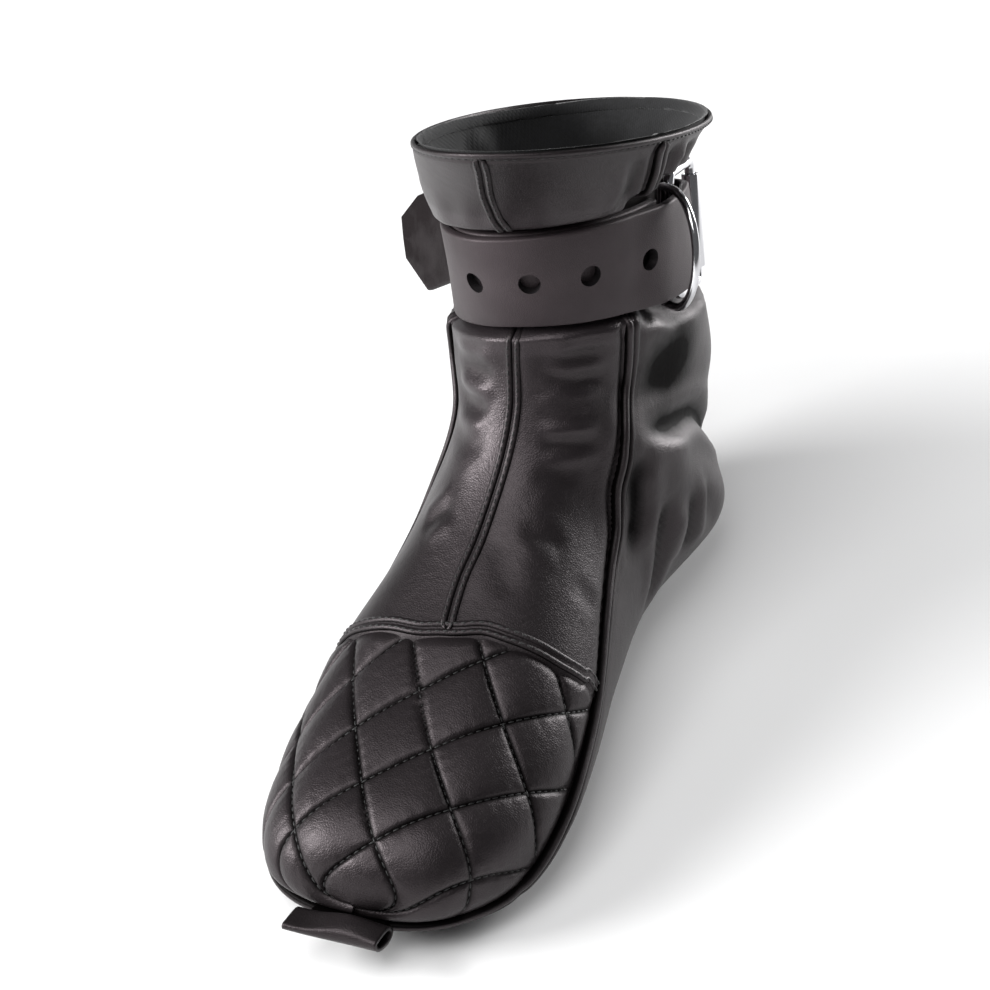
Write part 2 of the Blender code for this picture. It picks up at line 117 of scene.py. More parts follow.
@dataclass(frozen=True)
class Last:
    """Form of the boot: sections between a dorsal point and a sole or heel point.

    Each section gives top y and z, base y and z, medial and lateral half widths, the middle's
    x, the power of its curve, how far it swells towards the sole, and how far its medial edge
    rises while the lateral one sinks.
    """

    sections: tuple[tuple[float, ...], ...] = (
        (-208.0, 23.8, -208.0, 23.8, 0.1, 0.1, -0.5, 2.00, 0.00, 0.0),
        (-203.5, 37.3, -204.8, 12.8, 24.0, 25.0, -1.2, 2.20, 0.06, 0.0),
        (-191.0, 46.5, -194.0, 4.6, 37.6, 38.2, -1.2, 2.40, 0.12, 0.0),
        (-168.0, 53.7, -175.0, -1.2, 46.6, 45.8, -0.3, 2.55, 0.18, 0.0),
        (-138.0, 63.2, -149.0, -1.2, 50.6, 49.3, 0.2, 2.55, 0.22, 0.0),
        (-108.0, 75.4, -115.5, 0.6, 48.8, 47.3, 0.7, 2.50, 0.22, 0.0),
        (-81.5, 89.3, -72.0, 3.0, 43.0, 42.3, 1.9, 2.40, 0.22, 0.0),
        (-63.2, 104.0, -18.0, 2.6, 38.8, 40.7, 3.1, 2.30, 0.20, 0.0),
        (-52.4, 119.2, 46.4, -1.5, 46.0, 41.9, 4.0, 2.30, 0.15, 0.0),
        (-46.6, 134.5, 75.6, 27.0, 39.8, 41.5, 2.2, 2.12, 0.00, 0.0),
        (-44.6, 149.4, 75.2, 80.0, 42.8, 42.2, 1.0, 2.15, 0.03, 3.5),
        (-45.0, 164.0, 69.2, 126.0, 42.1, 39.6, -1.5, 2.08, 0.00, 7.0),
        (-46.0, 182.4, 68.0, 149.0, 42.0, 39.0, -2.6, 2.05, 0.00, 7.0),
        (-49.4, 201.0, 70.6, 163.0, 46.4, 43.8, -1.0, 2.03, 0.00, 7.0),
        (-61.0, 225.6, 74.0, 170.0, 51.6, 46.0, 1.2, 2.03, 0.02, 7.0),
    )
    origin: tuple[float, float, float] = (4.0, 28.0, 0.0)
    strap_row: float = 11.0
    strap_half: float = 18.0
    cinch: float = 8.0
    lateral_pull: float = 3.0
    cinch_ease: float = 9.0
    cinch_lip: float = 4.0
    hardware_lip: float = 4.5
    hardware_span: tuple[float, float] = (70.0, 140.0)
    hardware_ease: float = 14.0
    slope: float = 0.014
    pole: float = 0.17
    length_steps: int = 13

    def values(self, row: Array) -> Array:
        """Section sizes at rows, by a curve through the sections.

        Args:
            row: Rows from 0 to 14.

        Returns:
            One array for each size of a section.
        """
        table = np.array((self.sections[0], *self.sections, self.sections[-1]))
        return np.moveaxis(spline(table, np.clip(row, 0.0, ROWS)), -1, 0)

    def envelope(self, row: Array, degrees: Array) -> Array:
        """Outer form without the strap's groove.

        Args:
            row: Rows from 0 to 14.
            degrees: Angles from the front seam.

        Returns:
            Points in millimetres.
        """
        row, degrees = np.broadcast_arrays(np.asarray(row, float), np.asarray(degrees, float))
        top_y, top_z, base_y, base_z, medial, lateral, mid_x, power, egg, bank = self.values(row)
        cosine, sine = np.cos(np.radians(degrees)), np.sin(np.radians(degrees))
        along = np.sign(cosine) * np.abs(cosine) ** (2.0 / power)
        across = np.sign(sine) * np.abs(sine) ** (2.0 / power)
        x = mid_x + np.where(sine > 0.0, medial, lateral) * across * (1.0 - egg * cosine)
        y = (top_y + base_y) / 2.0 + (top_y - base_y) / 2.0 * along
        z = (top_z + base_z) / 2.0 + (top_z - base_z) / 2.0 * along + bank * across
        return np.stack([x, y, z], axis=-1)

    def outward(self, row: Array, degrees: Array) -> Array:
        """Unit normals of the envelope.

        Args:
            row: Rows from 0 to 14.
            degrees: Angles from the front seam.

        Returns:
            Unit vectors.
        """
        row = np.maximum(row, self.pole)
        up = self.envelope(row + self.slope, degrees) - self.envelope(row - self.slope, degrees)
        turn = self.envelope(row, degrees + self.slope) - self.envelope(row, degrees - self.slope)
        return unit(np.cross(turn, up))

    def strap_distance(self, row: Array, degrees: Array) -> Array:
        """Length over the form from the strap's middle line, positive towards the collar.

        Args:
            row: Rows from 0 to 14.
            degrees: Angles from the front seam.

        Returns:
            Signed lengths.
        """
        row, degrees = np.broadcast_arrays(np.asarray(row, float), np.asarray(degrees, float))
        share = np.linspace(0.0, 1.0, self.length_steps)
        rows = self.strap_row + (row - self.strap_row)[..., None] * share
        path = self.envelope(rows, degrees[..., None])
        length = np.linalg.norm(np.diff(path, axis=-2), axis=-1).sum(axis=-1)
        return np.sign(row - self.strap_row) * length

    def pull(self, degrees: Array) -> Array:
        """Depth by which the tightened strap lies deeper on the lateral side."""
        return self.lateral_pull * ease(-np.sin(np.radians(degrees)))

    def groove(self, row: Array, degrees: Array) -> Array:
        """Depth to which the strap draws the padded shaft in.

        Args:
            row: Rows from 0 to 14.
            degrees: Angles from the front seam.

        Returns:
            Depths.
        """
        wrapped = (np.asarray(degrees, float) + 180.0) % 360.0 - 180.0
        first, last = self.hardware_span
        rise, fall = (ease(gap / self.hardware_ease) for gap in (wrapped - first, last - wrapped))
        flat = self.strap_half + self.cinch_lip + self.hardware_lip * rise * fall
        beyond = np.abs(self.strap_distance(row, degrees)) - flat
        return (self.cinch + self.pull(degrees)) * (1.0 - ease(beyond / self.cinch_ease))

    def skin(self, row: Array, degrees: Array, lift: Array | float = 0.0) -> Array:
        """Points on the boot's outer face.

        Args:
            row: Rows from 0 to 14.
            degrees: Angles from the front seam.
            lift: Height above the face.

        Returns:
            Points in millimetres.
        """
        row, degrees = np.broadcast_arrays(np.asarray(row, float), np.asarray(degrees, float))
        rise = np.asarray(lift - self.groove(row, degrees))
        return self.envelope(row, degrees) + self.outward(row, degrees) * rise[..., None]

    def tip(self, lift: float) -> tuple[float, float, float]:
        """Point of the toe's pole, at a height ahead of the last."""
        y, z, _, _, _, _, x, *_ = self.sections[0]
        return x, y - lift, z

    def metres(self, points: Array) -> Array:
        """Drawing points in millimetres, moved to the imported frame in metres."""
        return (points - np.array(self.origin)) * MM


LAST = Last()


def follow(path: Path2, count: int) -> tuple[Array, Array]:
    """Rows and angles spaced along a path of corner points, rounded at the corners.

    Args:
        path: Corner points as row and angle.
        count: Number of points wanted.

    Returns:
        Rows and angles.
    """
    corners = np.array(path, float)
    padded = np.vstack([2.0 * corners[0] - corners[1], corners, 2.0 * corners[-1] - corners[-2]])
    rows, degrees = spline(padded, np.linspace(0.0, len(corners) - 1, count)).T
    return rows, degrees


def gauge(points: Array, line: Array) -> tuple[Array, Array]:
    """Distance of points from a line through corner points, and how far along it they lie.

    Args:
        points: Points to measure.
        line: Corner points of the line.

    Returns:
        Distances, and shares of the line from 0 to 1.
    """
    nearest = np.full(len(points), np.inf)
    share = np.zeros(len(points))
    for index, (start, end) in enumerate(zip(line, line[1:])):
        span = end - start
        t = np.clip((points - start) @ span / (span @ span), 0.0, 1.0)
        gap = np.linalg.norm(points - start - t[:, None] * span, axis=1)
        closer = gap < nearest
        nearest[closer] = gap[closer]
        share[closer] = (index + t[closer]) / (len(line) - 1)
    return nearest, share


@dataclass(frozen=True)
class Fold:
    """Soft trough in the leather with raised lips, along a path of rows and angles."""

    path: Path2
    depth: float
    width: float
    lip: float = 0.5
    fade: float = 0.3
    steps: int = 20

    def height(self, points: Array) -> Array:
        """Height that the fold adds at points.

        Args:
            points: Points on the boot's face.

        Returns:
            Heights, below zero in the trough.
        """
        distance, share = gauge(points, LAST.skin(*follow(self.path, self.steps)))
        ends = ease(share / self.fade) * ease((1.0 - share) / self.fade)
        lips = self.lip * hump(distance - 2.0 * self.width, self.width)
        return self.depth * ends * (lips - hump(distance, self.width))


@dataclass(frozen=True)
class Swell:
    """Soft rise or hollow of the padding about one place; the same shape also gives soft patches of painted
    light and painted shade.
    """

    row: float
    degrees: float
    height: float
    radius: float

    def lift(self, points: Array) -> Array:
        """Height that the swell adds at points, and the mark that a painted patch adds."""
        centre = LAST.skin(self.row, self.degrees)
        return self.height * hump(np.linalg.norm(points - centre, axis=1), self.radius)


def warped_grid(across: int, along: int, place: Placing) -> bmesh.types.BMesh:
    """Grid whose points are moved to a surface, with its doubled edge and pole points merged.

    Args:
        across: Faces across the grid.
        along: Faces along the grid.
        place: Turns shares across and along into points in metres and fold marks.

    Returns:
        The new bmesh, with the marks in its fold attribute.
    """
    bm = bmesh.new()
    bmesh.ops.create_grid(bm, x_segments=across, y_segments=along, size=0.5)
    shares = np.array([vert.co[:2] for vert in bm.verts]) + 0.5
    points, marks = place(shares[:, 0], shares[:, 1])
    layer = bm.verts.layers.float.new("fold")
    for vert, point, mark in zip(bm.verts, points, marks):
        vert.co = point
        vert[layer] = mark
    bmesh.ops.remove_doubles(bm, verts=bm.verts, dist=2e-6)
    return bm


def trim(bm: bmesh.types.BMesh, through: Array, normal: tuple[float, ...], below: bool = True) -> None:
    """Cut a mesh at a plane and clear one side.

    Args:
        bm: The mesh.
        through: Point of the plane in metres.
        normal: Upward normal of the plane.
        below: Whether the side below the plane goes, and not the one above.
    """
    bmesh.ops.bisect_plane(
        bm,
        geom=bm.verts[:] + bm.edges[:] + bm.faces[:],
        dist=1e-7,
        plane_co=through,
        plane_no=normal,
        clear_inner=below,
        clear_outer=not below,
    )


def make_piece(name: str, bm: bmesh.types.BMesh, *skins: bpy.types.Material) -> bpy.types.Object:
    """Object at the origin for a bmesh, smooth shaded.

    Args:
        name: Name of the piece.
        bm: Its mesh, which is freed.
        skins: Materials in slot order.

    Returns:
        The new object.
    """
    mesh = bpy.data.meshes.new(name)
    for face in bm.faces:
        face.smooth = True
    bm.to_mesh(mesh)
    bm.free()
    for skin in skins:
        mesh.materials.append(skin)
    piece = bpy.data.objects.new(name, mesh)
    bpy.context.scene.collection.objects.link(piece)
    return piece


def settle(piece: bpy.types.Object, body: Body = Body.BOOT, stands_for: str = "") -> None:
    """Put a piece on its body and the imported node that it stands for.

    Args:
        piece: The finished piece.
        body: Body that it rides on.
        stands_for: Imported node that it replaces, if any.
    """
    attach(piece, body.value)
    if stands_for:
        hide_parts(stands_for)
    LOG.info("%s: %d faces", piece.name, len(piece.data.polygons))


def add_wall(piece: bpy.types.Object, thick: float, lining: int = 0, rim: int = 0) -> None:
    """Give a skin its thickness, inwards.

    Args:
        piece: The piece.
        thick: Thickness in millimetres.
        lining: Steps from the skin's material slot to the inner face's.
        rim: Steps from the skin's material slot to the cut edge's.
    """
    wall = piece.modifiers.new("wall", "SOLIDIFY")
    wall.thickness = thick * MM
    wall.offset = -1.0
    wall.material_offset = lining
    wall.material_offset_rim = rim


def linear(code: str) -> tuple[float, float, float, float]:
    """Linear colour of an sRGB hex code.

    Args:
        code: Six hex digits after a hash.

    Returns:
        Red, green, blue and alpha.
    """
    parts = [int(code[start : start + 2], 16) / 255.0 for start in (1, 3, 5)]
    red, green, blue = (c / 12.92 if c <= 0.04045 else ((c + 0.055) / 1.055) ** 2.4 for c in parts)
    return red, green, blue, 1.0


def add(tree: bpy.types.NodeTree, kind: str, inputs: dict[Any, Any], **settings: Any) -> bpy.types.Node:
    """Add a node with its settings and links.

    Args:
        tree: Node tree of the material.
        kind: Blender's name of the node type.
        inputs: Values, or sockets to link, by input name or number.
        settings: Properties of the node.

    Returns:
        The new node.
    """
    node = tree.nodes.new(kind)
    for key, value in settings.items():
        setattr(node, key, value)
    for key, value in inputs.items():
        if isinstance(value, bpy.types.NodeSocket):
            tree.links.new(value, node.inputs[key])
        else:
            node.inputs[key].default_value = value
    return node


def blank(name: str) -> tuple[bpy.types.Material, bpy.types.NodeTree, bpy.types.Node]:
    """New material with its Principled shader.

    Args:
        name: Name of the material.

    Returns:
        The material, its node tree and its shader.
    """
    skin = bpy.data.materials.new(name)
    skin.use_nodes = True
    return skin, skin.node_tree, skin.node_tree.nodes["Principled BSDF"]


def per_metre(size: float) -> float:
    """Texture scale for a pattern whose cells measure size in millimetres."""
    return 1.0 / (size * MM)


@dataclass(frozen=True)
class LeatherFinish:
    """Dyed leather: fine pebbled grain, soft wrinkles, and a sheen that wears on the ridges; its fold marks
    also carry painted light and painted shade.
    """

    name: str
    # Colours: the darkest for painted shade, the leather's own colour, and the lightest for wear and painted
    # light
    deep: str
    shade: str
    worn_and_lit: str
    rough_low: float
    rough_high: float
    grain: float
    grain_depth: float
    wrinkle: float
    wrinkle_depth: float
    coat: float
    coat_rough: float
    gloss: float = 0.42
    tint: str = "#fff0f5"
    cloud: float = 38.0
    cloud_share: float = 0.55
    tone_stops: tuple[float, float, float] = (0.0, 0.32, 0.75)

    def make(self) -> bpy.types.Material:
        """Build the material.

        Returns:
            The material, which reads the mesh's fold attribute for its wear and for its painted light and
            shade.
        """
        skin, tree, shader = blank(self.name)
        place = add(tree, "ShaderNodeTexCoord", {}).outputs["Object"]
        cloud = add(
            tree,
            "ShaderNodeTexNoise",
            {"Vector": place, "Scale": per_metre(self.cloud), "Detail": 4.0, "Roughness": 0.6},
        ).outputs["Fac"]
        # The fold attribute holds painted shade in troughs and ditches, painted light in some patches, and
        # wear on ridges and edges
        fold = add(tree, "ShaderNodeAttribute", {}, attribute_name="fold").outputs["Fac"]
        inputs = {0: cloud, 1: self.cloud_share, 2: fold}
        worn_and_lit = add(tree, "ShaderNodeMath", inputs, operation="MULTIPLY_ADD").outputs[0]
        # Colour runs from the darkest stop where painted shade lies, through the leather's own colour, to the
        # lightest stop where wear and painted light lie
        ramp = add(tree, "ShaderNodeValToRGB", {"Fac": worn_and_lit})
        stops = ramp.color_ramp.elements
        low, middle, high = self.tone_stops
        stops[0].position, stops[0].color = low, linear(self.deep)
        stops[1].position, stops[1].color = high, linear(self.worn_and_lit)
        stops.new(middle).color = linear(self.shade)
        rough = add(
            tree,
            "ShaderNodeMapRange",
            {"Value": worn_and_lit, "From Max": 0.7, "To Min": self.rough_high, "To Max": self.rough_low},
        ).outputs["Result"]
        cells = add(
            tree,
            "ShaderNodeTexVoronoi",
            {"Vector": place, "Scale": per_metre(self.grain), "Randomness": 0.95},
            feature="DISTANCE_TO_EDGE",
        ).outputs["Distance"]
        pebble = add(
            tree,
            "ShaderNodeMapRange",
            {"Value": cells, "From Max": 0.28},
            interpolation_type="SMOOTHSTEP",
        ).outputs["Result"]
        fine = add(
            tree,
            "ShaderNodeTexNoise",
            {"Vector": place, "Scale": per_metre(self.wrinkle), "Detail": 6.0, "Distortion": 0.8},
        ).outputs["Fac"]
        broad = add(
            tree,
            "ShaderNodeBump",
            {"Height": fine, "Strength": 0.6, "Distance": self.wrinkle_depth * MM},
        ).outputs["Normal"]
        grained = add(
            tree,
            "ShaderNodeBump",
            {"Height": pebble, "Strength": 0.7, "Distance": self.grain_depth * MM, "Normal": broad},
        ).outputs["Normal"]
        tree.links.new(ramp.outputs["Color"], shader.inputs["Base Color"])
        tree.links.new(rough, shader.inputs["Roughness"])
        tree.links.new(grained, shader.inputs["Normal"])
        # The sheen fades where painted shade lies, so that troughs and ditches read darker
        gloss = add(
            tree,
            "ShaderNodeMapRange",
            {"Value": worn_and_lit, "From Min": -0.1, "From Max": 0.22, "To Min": 0.02, "To Max": self.gloss},
        ).outputs["Result"]
        tree.links.new(gloss, shader.inputs["Specular IOR Level"])
        shader.inputs["Specular Tint"].default_value = linear(self.tint)
        shader.inputs["Coat Weight"].default_value = self.coat
        shader.inputs["Coat Roughness"].default_value = self.coat_rough
        return skin


@dataclass(frozen=True)
class PlatedFinish:
    """Chromed steel: a bright mirror with faint polishing haze."""

    name: str
    shade: str
    rough_low: float
    rough_high: float
    haze: float

    def make(self) -> bpy.types.Material:
        """Build the material.

        Returns:
            The material.
        """
        skin, tree, shader = blank(self.name)
        place = add(tree, "ShaderNodeTexCoord", {}).outputs["Object"]
        haze = add(
            tree,
            "ShaderNodeTexNoise",
            {"Vector": place, "Scale": per_metre(self.haze), "Detail": 5.0},
        ).outputs["Fac"]
        rough = add(
            tree,
            "ShaderNodeMapRange",
            {"Value": haze, "To Min": self.rough_low, "To Max": self.rough_high},
        ).outputs["Result"]
        bump = add(tree, "ShaderNodeBump", {"Height": haze, "Strength": 0.12, "Distance": 0.05 * MM})
        tree.links.new(rough, shader.inputs["Roughness"])
        tree.links.new(bump.outputs["Normal"], shader.inputs["Normal"])
        shader.inputs["Base Color"].default_value = linear(self.shade)
        shader.inputs["Metallic"].default_value = 1.0
        return skin


@dataclass(frozen=True)
class ClothFinish:
    """Matt woven or brushed cloth: soft fibres and a plain weave."""

    name: str
    low: str
    high: str
    thread: float
    depth: float
    rough: float
    fibre: float = 2.0
    fibre_stops: tuple[float, float] = (0.25, 0.8)
    sheen: float = 0.15

    def make(self) -> bpy.types.Material:
        """Build the material.

        Returns:
            The material.
        """
        skin, tree, shader = blank(self.name)
        place = add(tree, "ShaderNodeTexCoord", {}).outputs["Object"]
        scale = 2.0 * math.pi * per_metre(self.thread) / WAVE_RADIANS
        waves = [
            add(
                tree,
                "ShaderNodeTexWave",
                {"Vector": place, "Scale": scale, "Distortion": 0.6, "Detail": 2.0},
                bands_direction=axis,
            ).outputs["Fac"]
            for axis in ("X", "DIAGONAL")
        ]
        weave = add(tree, "ShaderNodeMath", {0: waves[0], 1: waves[1]}, operation="MAXIMUM").outputs[0]
        fibre = add(
            tree,
            "ShaderNodeTexNoise",
            {"Vector": place, "Scale": per_metre(self.thread * self.fibre), "Detail": 5.0},
        ).outputs["Fac"]
        ramp = add(tree, "ShaderNodeValToRGB", {"Fac": fibre})
        stops = ramp.color_ramp.elements
        low, high = self.fibre_stops
        stops[0].position, stops[0].color = low, linear(self.low)
        stops[1].position, stops[1].color = high, linear(self.high)
        bump = add(tree, "ShaderNodeBump", {"Height": weave, "Strength": 0.5, "Distance": self.depth * MM})
        tree.links.new(ramp.outputs["Color"], shader.inputs["Base Color"])
        tree.links.new(bump.outputs["Normal"], shader.inputs["Normal"])
        shader.inputs["Roughness"].default_value = self.rough
        shader.inputs["Sheen Weight"].default_value = self.sheen
        return skin


@dataclass
class Rail:
    """Line on the boot that a seam or stitch row follows, with the surface's normals."""

    points: Array
    normals: Array

    def lengths(self) -> Array:
        """Length from the start to each point."""
        steps = np.linalg.norm(np.diff(self.points, axis=0), axis=1)
        return np.concatenate([[0.0], np.cumsum(steps)])

    def at(self, distance: Array) -> tuple[Array, Array, Array, Array]:
        """Points and directions at lengths along the rail.

        Args:
            distance: Lengths from the start.

        Returns:
            Points, tangents, normals and directions across.
        """
        lengths = self.lengths()
        points = np.stack([np.interp(distance, lengths, axis) for axis in self.points.T], axis=-1)
        normals = np.stack([np.interp(distance, lengths, axis) for axis in self.normals.T], axis=-1)
        slopes = np.gradient(self.points, axis=0)
        tangents = unit(np.stack([np.interp(distance, lengths, axis) for axis in slopes.T], axis=-1))
        normals = unit(normals - tangents * (normals * tangents).sum(axis=-1, keepdims=True))
        return points, tangents, normals, np.cross(tangents, normals)

    def sweep(self, profile: tuple[tuple[float, float], ...], along: int, taper: float) -> bmesh.types.BMesh:
        """Closed bead with a profile, drawn to a point over its ends.

        Args:
            profile: Points across and above the rail, the first not repeated.
            along: Faces along the bead.
            taper: Length over which each end narrows.

        Returns:
            The bead's bmesh in metres.
        """
        total = self.lengths()[-1]
        loop = np.array(profile + profile[:1])

        def place(u: Array, v: Array) -> tuple[Array, Array]:
            """Points and marks of the bead for shares round and along it."""
            points, _, normals, across = self.at(v * total)
            index = np.round(u * (len(loop) - 1)).astype(int)
            size = np.sqrt(np.clip(np.minimum(v, 1.0 - v) * total / taper, 0.0, 1.0))[:, None]
            shape = across * loop[index, :1] + normals * loop[index, 1:]
            # Painted shade darkens the bead's low sides, and wear lightens its top
            marks = np.interp(loop[index, 1], *SHADE_AND_WEAR_BY_HEIGHT)
            return LAST.metres(points + shape * size), marks

        bm = warped_grid(len(loop) - 1, along, place)
        bmesh.ops.recalc_face_normals(bm, faces=bm.faces)
        return bm


@dataclass(frozen=True)
class Stitching:
    """Row of thread stitches, each a small bead sunk at its ends."""

    pitch: float = 3.0
    length: float = 2.2
    radius: float = 0.36
    rounds: int = 6
    sink: float = 0.05
    rings: int = 4

    def sew(self, bm: bmesh.types.BMesh, rail: Rail, aside: float) -> None:
        """Add stitches beside a rail.

        Args:
            bm: Mesh that takes the stitches.
            rail: Line to follow.
            aside: Distance across from the rail.
        """
        total = rail.lengths()[-1]
        places = np.arange(self.pitch, total - self.pitch / 2.0, self.pitch)
        for point, tangent, normal, across in zip(*rail.at(places)):
            centre = LAST.metres(point + across * aside - normal * self.sink)
            turn = Matrix(np.stack([tangent, across, normal], axis=1)).to_4x4()
            thick = 2.0 * self.radius * MM
            size = Matrix.Diagonal((self.length * MM, thick, thick, 1.0))
            bmesh.ops.create_uvsphere(
                bm,
                u_segments=self.rounds,
                v_segments=self.rings,
                radius=0.5,
                matrix=Matrix.Translation(centre) @ turn @ size,
            )


MEDIAL_SEAM: Path2 = (
    (13.88, 72.5), (13.58, 70.0), (13.05, 69.8), (12.27, 68.2), (11.81, 63.9), (10.89, 59.2),
    (10.00, 54.3), (9.20, 53.4), (8.21, 50.2), (7.44, 58.1), (6.88, 73.2), (6.11, 80.6),
    (5.50, 88.0), (5.00, 92.1), (4.40, 95.9), (3.80, 101.6), (3.20, 110.0), (2.60, 117.8),
    (2.00, 126.3), (1.55, 137.5), (1.20, 156.5), (1.08, 180.0),
)
FRONT_SEAM: Path2 = (
    (13.90, -0.5), (13.60, -0.1), (13.11, -0.9), (12.61, 1.8), (12.10, 6.2), (11.09, 4.2),
    (9.62, 0.0), (8.70, -1.1), (8.00, -1.0), (7.10, -0.5), (6.50, -0.5), (5.70, -0.5), (5.25, -1.0),
    (4.62, 0.2),
)


def mirrored(path: Path2) -> Path2:
    """The same path on the foot's other side."""
    return tuple((row, -degrees) for row, degrees in path)


@dataclass
class ToeCap:
    """Quilted toe: leather over wadding, sewn down along two families of lines."""

    around: int = 300
    along: int = 196
    edge_knots: Path2 = (
        (-180.0, 5.60), (-90.0, 5.06), (-65.0, 4.91), (-45.0, 4.77), (-25.0, 4.67), (-10.0, 4.61),
        (2.0, 4.67), (14.0, 4.77), (28.0, 4.81), (45.0, 4.89), (60.0, 4.98), (75.0, 5.13),
        (90.0, 5.28), (180.0, 5.66),
    )
    edge_steps: int = 280
    side_front: tuple[float, float] = (-175.0, 12.2)
    side_slope: float = 50.0 / 135.0
    lift: float = -1.6
    wall: float = 1.0
    puff: float = 2.2
    puff_power: float = 0.34
    puff_round: float = 0.03
    puff_vary: float = 0.12
    cell_seed: tuple[float, float] = (12.9898, 78.233)
    edge_hold: float = 8.0
    ditch: float = 0.75
    ditch_width: float = 1.1
    pucker: float = 0.1
    pucker_pitch: float = 6.5
    pucker_phase: float = 3.0
    pucker_reach: float = 4.5
    pucker_clear: float = 1.2
    wear_and_light: float = 0.12
    painted_light_base: float = 0.1
    line_painted_shade: float = 0.5
    line_shares: tuple[float, float] = (0.06, 0.985)
    line_span: float = 150.0
    line_angles: int = 601
    line_above: float = 1.5
    line_least: int = 8
    pitch: float = 32.0
    unit: float = 50.0
    steep: tuple[float, ...] = (0.339, 1.554, 1.032, 0.239, -0.635)
    shallow: tuple[float, ...] = (0.457, -1.514, 1.524, -0.003, -0.056)
    length_steps: int = 40
    ridge_steps: int = 400

    def edge(self, degrees: Array) -> Array:
        """Row of the cap's rear edge."""
        turns, rows = follow(self.edge_knots, self.edge_steps)
        return np.interp(degrees, turns, rows)

    def lattice(self, row: Array, degrees: Array) -> tuple[Array, Array]:
        """Places between the sewn lines, whole numbers on a line.

        Args:
            row: Rows from 0 to 14.
            degrees: Angles from the front seam.

        Returns:
            Places across the steep lines and across the shallow lines.
        """
        share = np.linspace(0.0, 1.0, self.length_steps)
        ring = LAST.envelope(row[:, None], degrees[:, None] * share)
        girth = np.linalg.norm(np.diff(ring, axis=1), axis=2).sum(axis=1) * np.sign(degrees) / self.unit
        rows = np.linspace(0.0, ROWS, self.ridge_steps)
        ridge = LAST.envelope(rows, np.zeros(len(rows)))
        run = np.concatenate([[0.0], np.cumsum(np.linalg.norm(np.diff(ridge, axis=0), axis=1))])
        length = np.interp(row, rows, run) / self.unit
        terms = np.stack([np.ones(len(row)), girth, length, girth * length, np.maximum(girth, 0.0) ** 2])
        return np.array(self.steep) @ terms, np.array(self.shallow) @ terms

    def inside(self, points: Array) -> Array:
        """Height of points above the side seams' planes."""
        y, z = points[:, 1], points[:, 2]
        front_y, front_z = self.side_front
        slant = (z - front_z - (y - front_y) * self.side_slope) / math.hypot(1.0, self.side_slope)
        return np.minimum(z - front_z, slant)

    def relief(self, row: Array, degrees: Array) -> tuple[Array, Array]:
        """Height of the quilting, and its marks: wear and painted light on the cap, painted shade in the sewn
        lines.

        Args:
            row: Rows from 0 to 14.
            degrees: Angles from the front seam.

        Returns:
            Heights over the upper, and fold marks.
        """
        steep, shallow = self.lattice(row, degrees)
        points = LAST.skin(row, degrees)
        rear = np.linalg.norm(points - LAST.skin(self.edge(degrees), degrees), axis=1)
        held = ease(np.minimum(rear, self.inside(points)) / self.edge_hold)
        bulge = np.sin(np.pi * steep) * np.sin(np.pi * shallow)
        pillow = np.hypot(bulge, self.puff_round) ** self.puff_power
        first, second = self.cell_seed
        cell = np.sin(first * np.floor(steep) + second * np.floor(shallow))
        near_steep = np.abs(steep - np.round(steep)) * self.pitch
        near_shallow = np.abs(shallow - np.round(shallow)) * self.pitch
        near = np.minimum(near_steep, near_shallow)
        run = np.where(near_steep < near_shallow, shallow, steep) * self.pitch
        line = hump(near, self.ditch_width)
        ripple = np.sin(2.0 * np.pi * run / self.pucker_pitch + self.pucker_phase * cell)
        ripple = ripple * np.exp(-near / self.pucker_reach) * (1.0 - hump(near, self.pucker_clear))
        height = self.puff * (1.0 + self.puff_vary * cell) * pillow + self.pucker * ripple - self.ditch * line
        # Marks: wear lightens the pillows, painted light lifts the whole cap a little, and painted shade
        # darkens the sewn lines
        mark = self.wear_and_light * (pillow + self.painted_light_base) - self.line_painted_shade * line
        return self.lift + height * held, mark * held

    def rails(self, count: int = 160) -> list[Rail]:
        """Lines of the quilting on the finished cap.

        Args:
            count: Points tried on each line.

        Returns:
            One rail for each sewn line.
        """
        rails = []
        angles = np.linspace(-self.line_span, self.line_span, self.line_angles)
        for family in range(2):
            found: dict[int, list[tuple[float, float]]] = {}
            for share in np.linspace(*self.line_shares, count):
                rows = self.edge(angles) * share
                place = self.lattice(rows, angles)[family]
                for start in np.nonzero(np.diff(np.floor(place)))[0]:
                    line = int(np.round((place[start] + place[start + 1]) / 2.0))
                    part = (line - place[start]) / (place[start + 1] - place[start])
                    turn = angles[start] + part * (angles[start + 1] - angles[start])
                    found.setdefault(line, []).append((float(self.edge(turn) * share), float(turn)))
            for corners in found.values():
                rows, degrees = np.array(corners).T
                points = LAST.skin(rows, degrees)
                kept = self.inside(points) > self.line_above
                rows, degrees = rows[kept], degrees[kept]
                if len(rows) < self.line_least:
                    continue
                height, _ = self.relief(rows, degrees)
                rails.append(Rail(LAST.skin(rows, degrees, height), LAST.outward(rows, degrees)))
        return rails

    def build(self, leather: bpy.types.Material) -> bpy.types.Object:
        """Make the quilted skin.

        Args:
            leather: Finish of the cap.

        Returns:
            The finished piece.
        """

        def place(u: Array, v: Array) -> tuple[Array, Array]:
            """Points and marks of the cap for shares round and along it."""
            degrees = 360.0 * u - 180.0
            row = self.edge(degrees) * v
            height, marks = self.relief(row, degrees)
            points = LAST.skin(row, degrees, height)
            points[v == 0.0] = LAST.tip(self.lift + self.puff / 2.0)
            return LAST.metres(points), marks

        bm = warped_grid(self.around, self.along, place)
        front_y, front_z = self.side_front
        through = LAST.metres(np.array((0.0, front_y, front_z)))
        for normal in (UP, (0.0, -self.side_slope, 1.0)):
            trim(bm, through, normal)
        piece = make_piece("quilted_toe", bm, leather)
        add_wall(piece, self.wall)
        settle(piece, stands_for="toe_cap")
        return piece


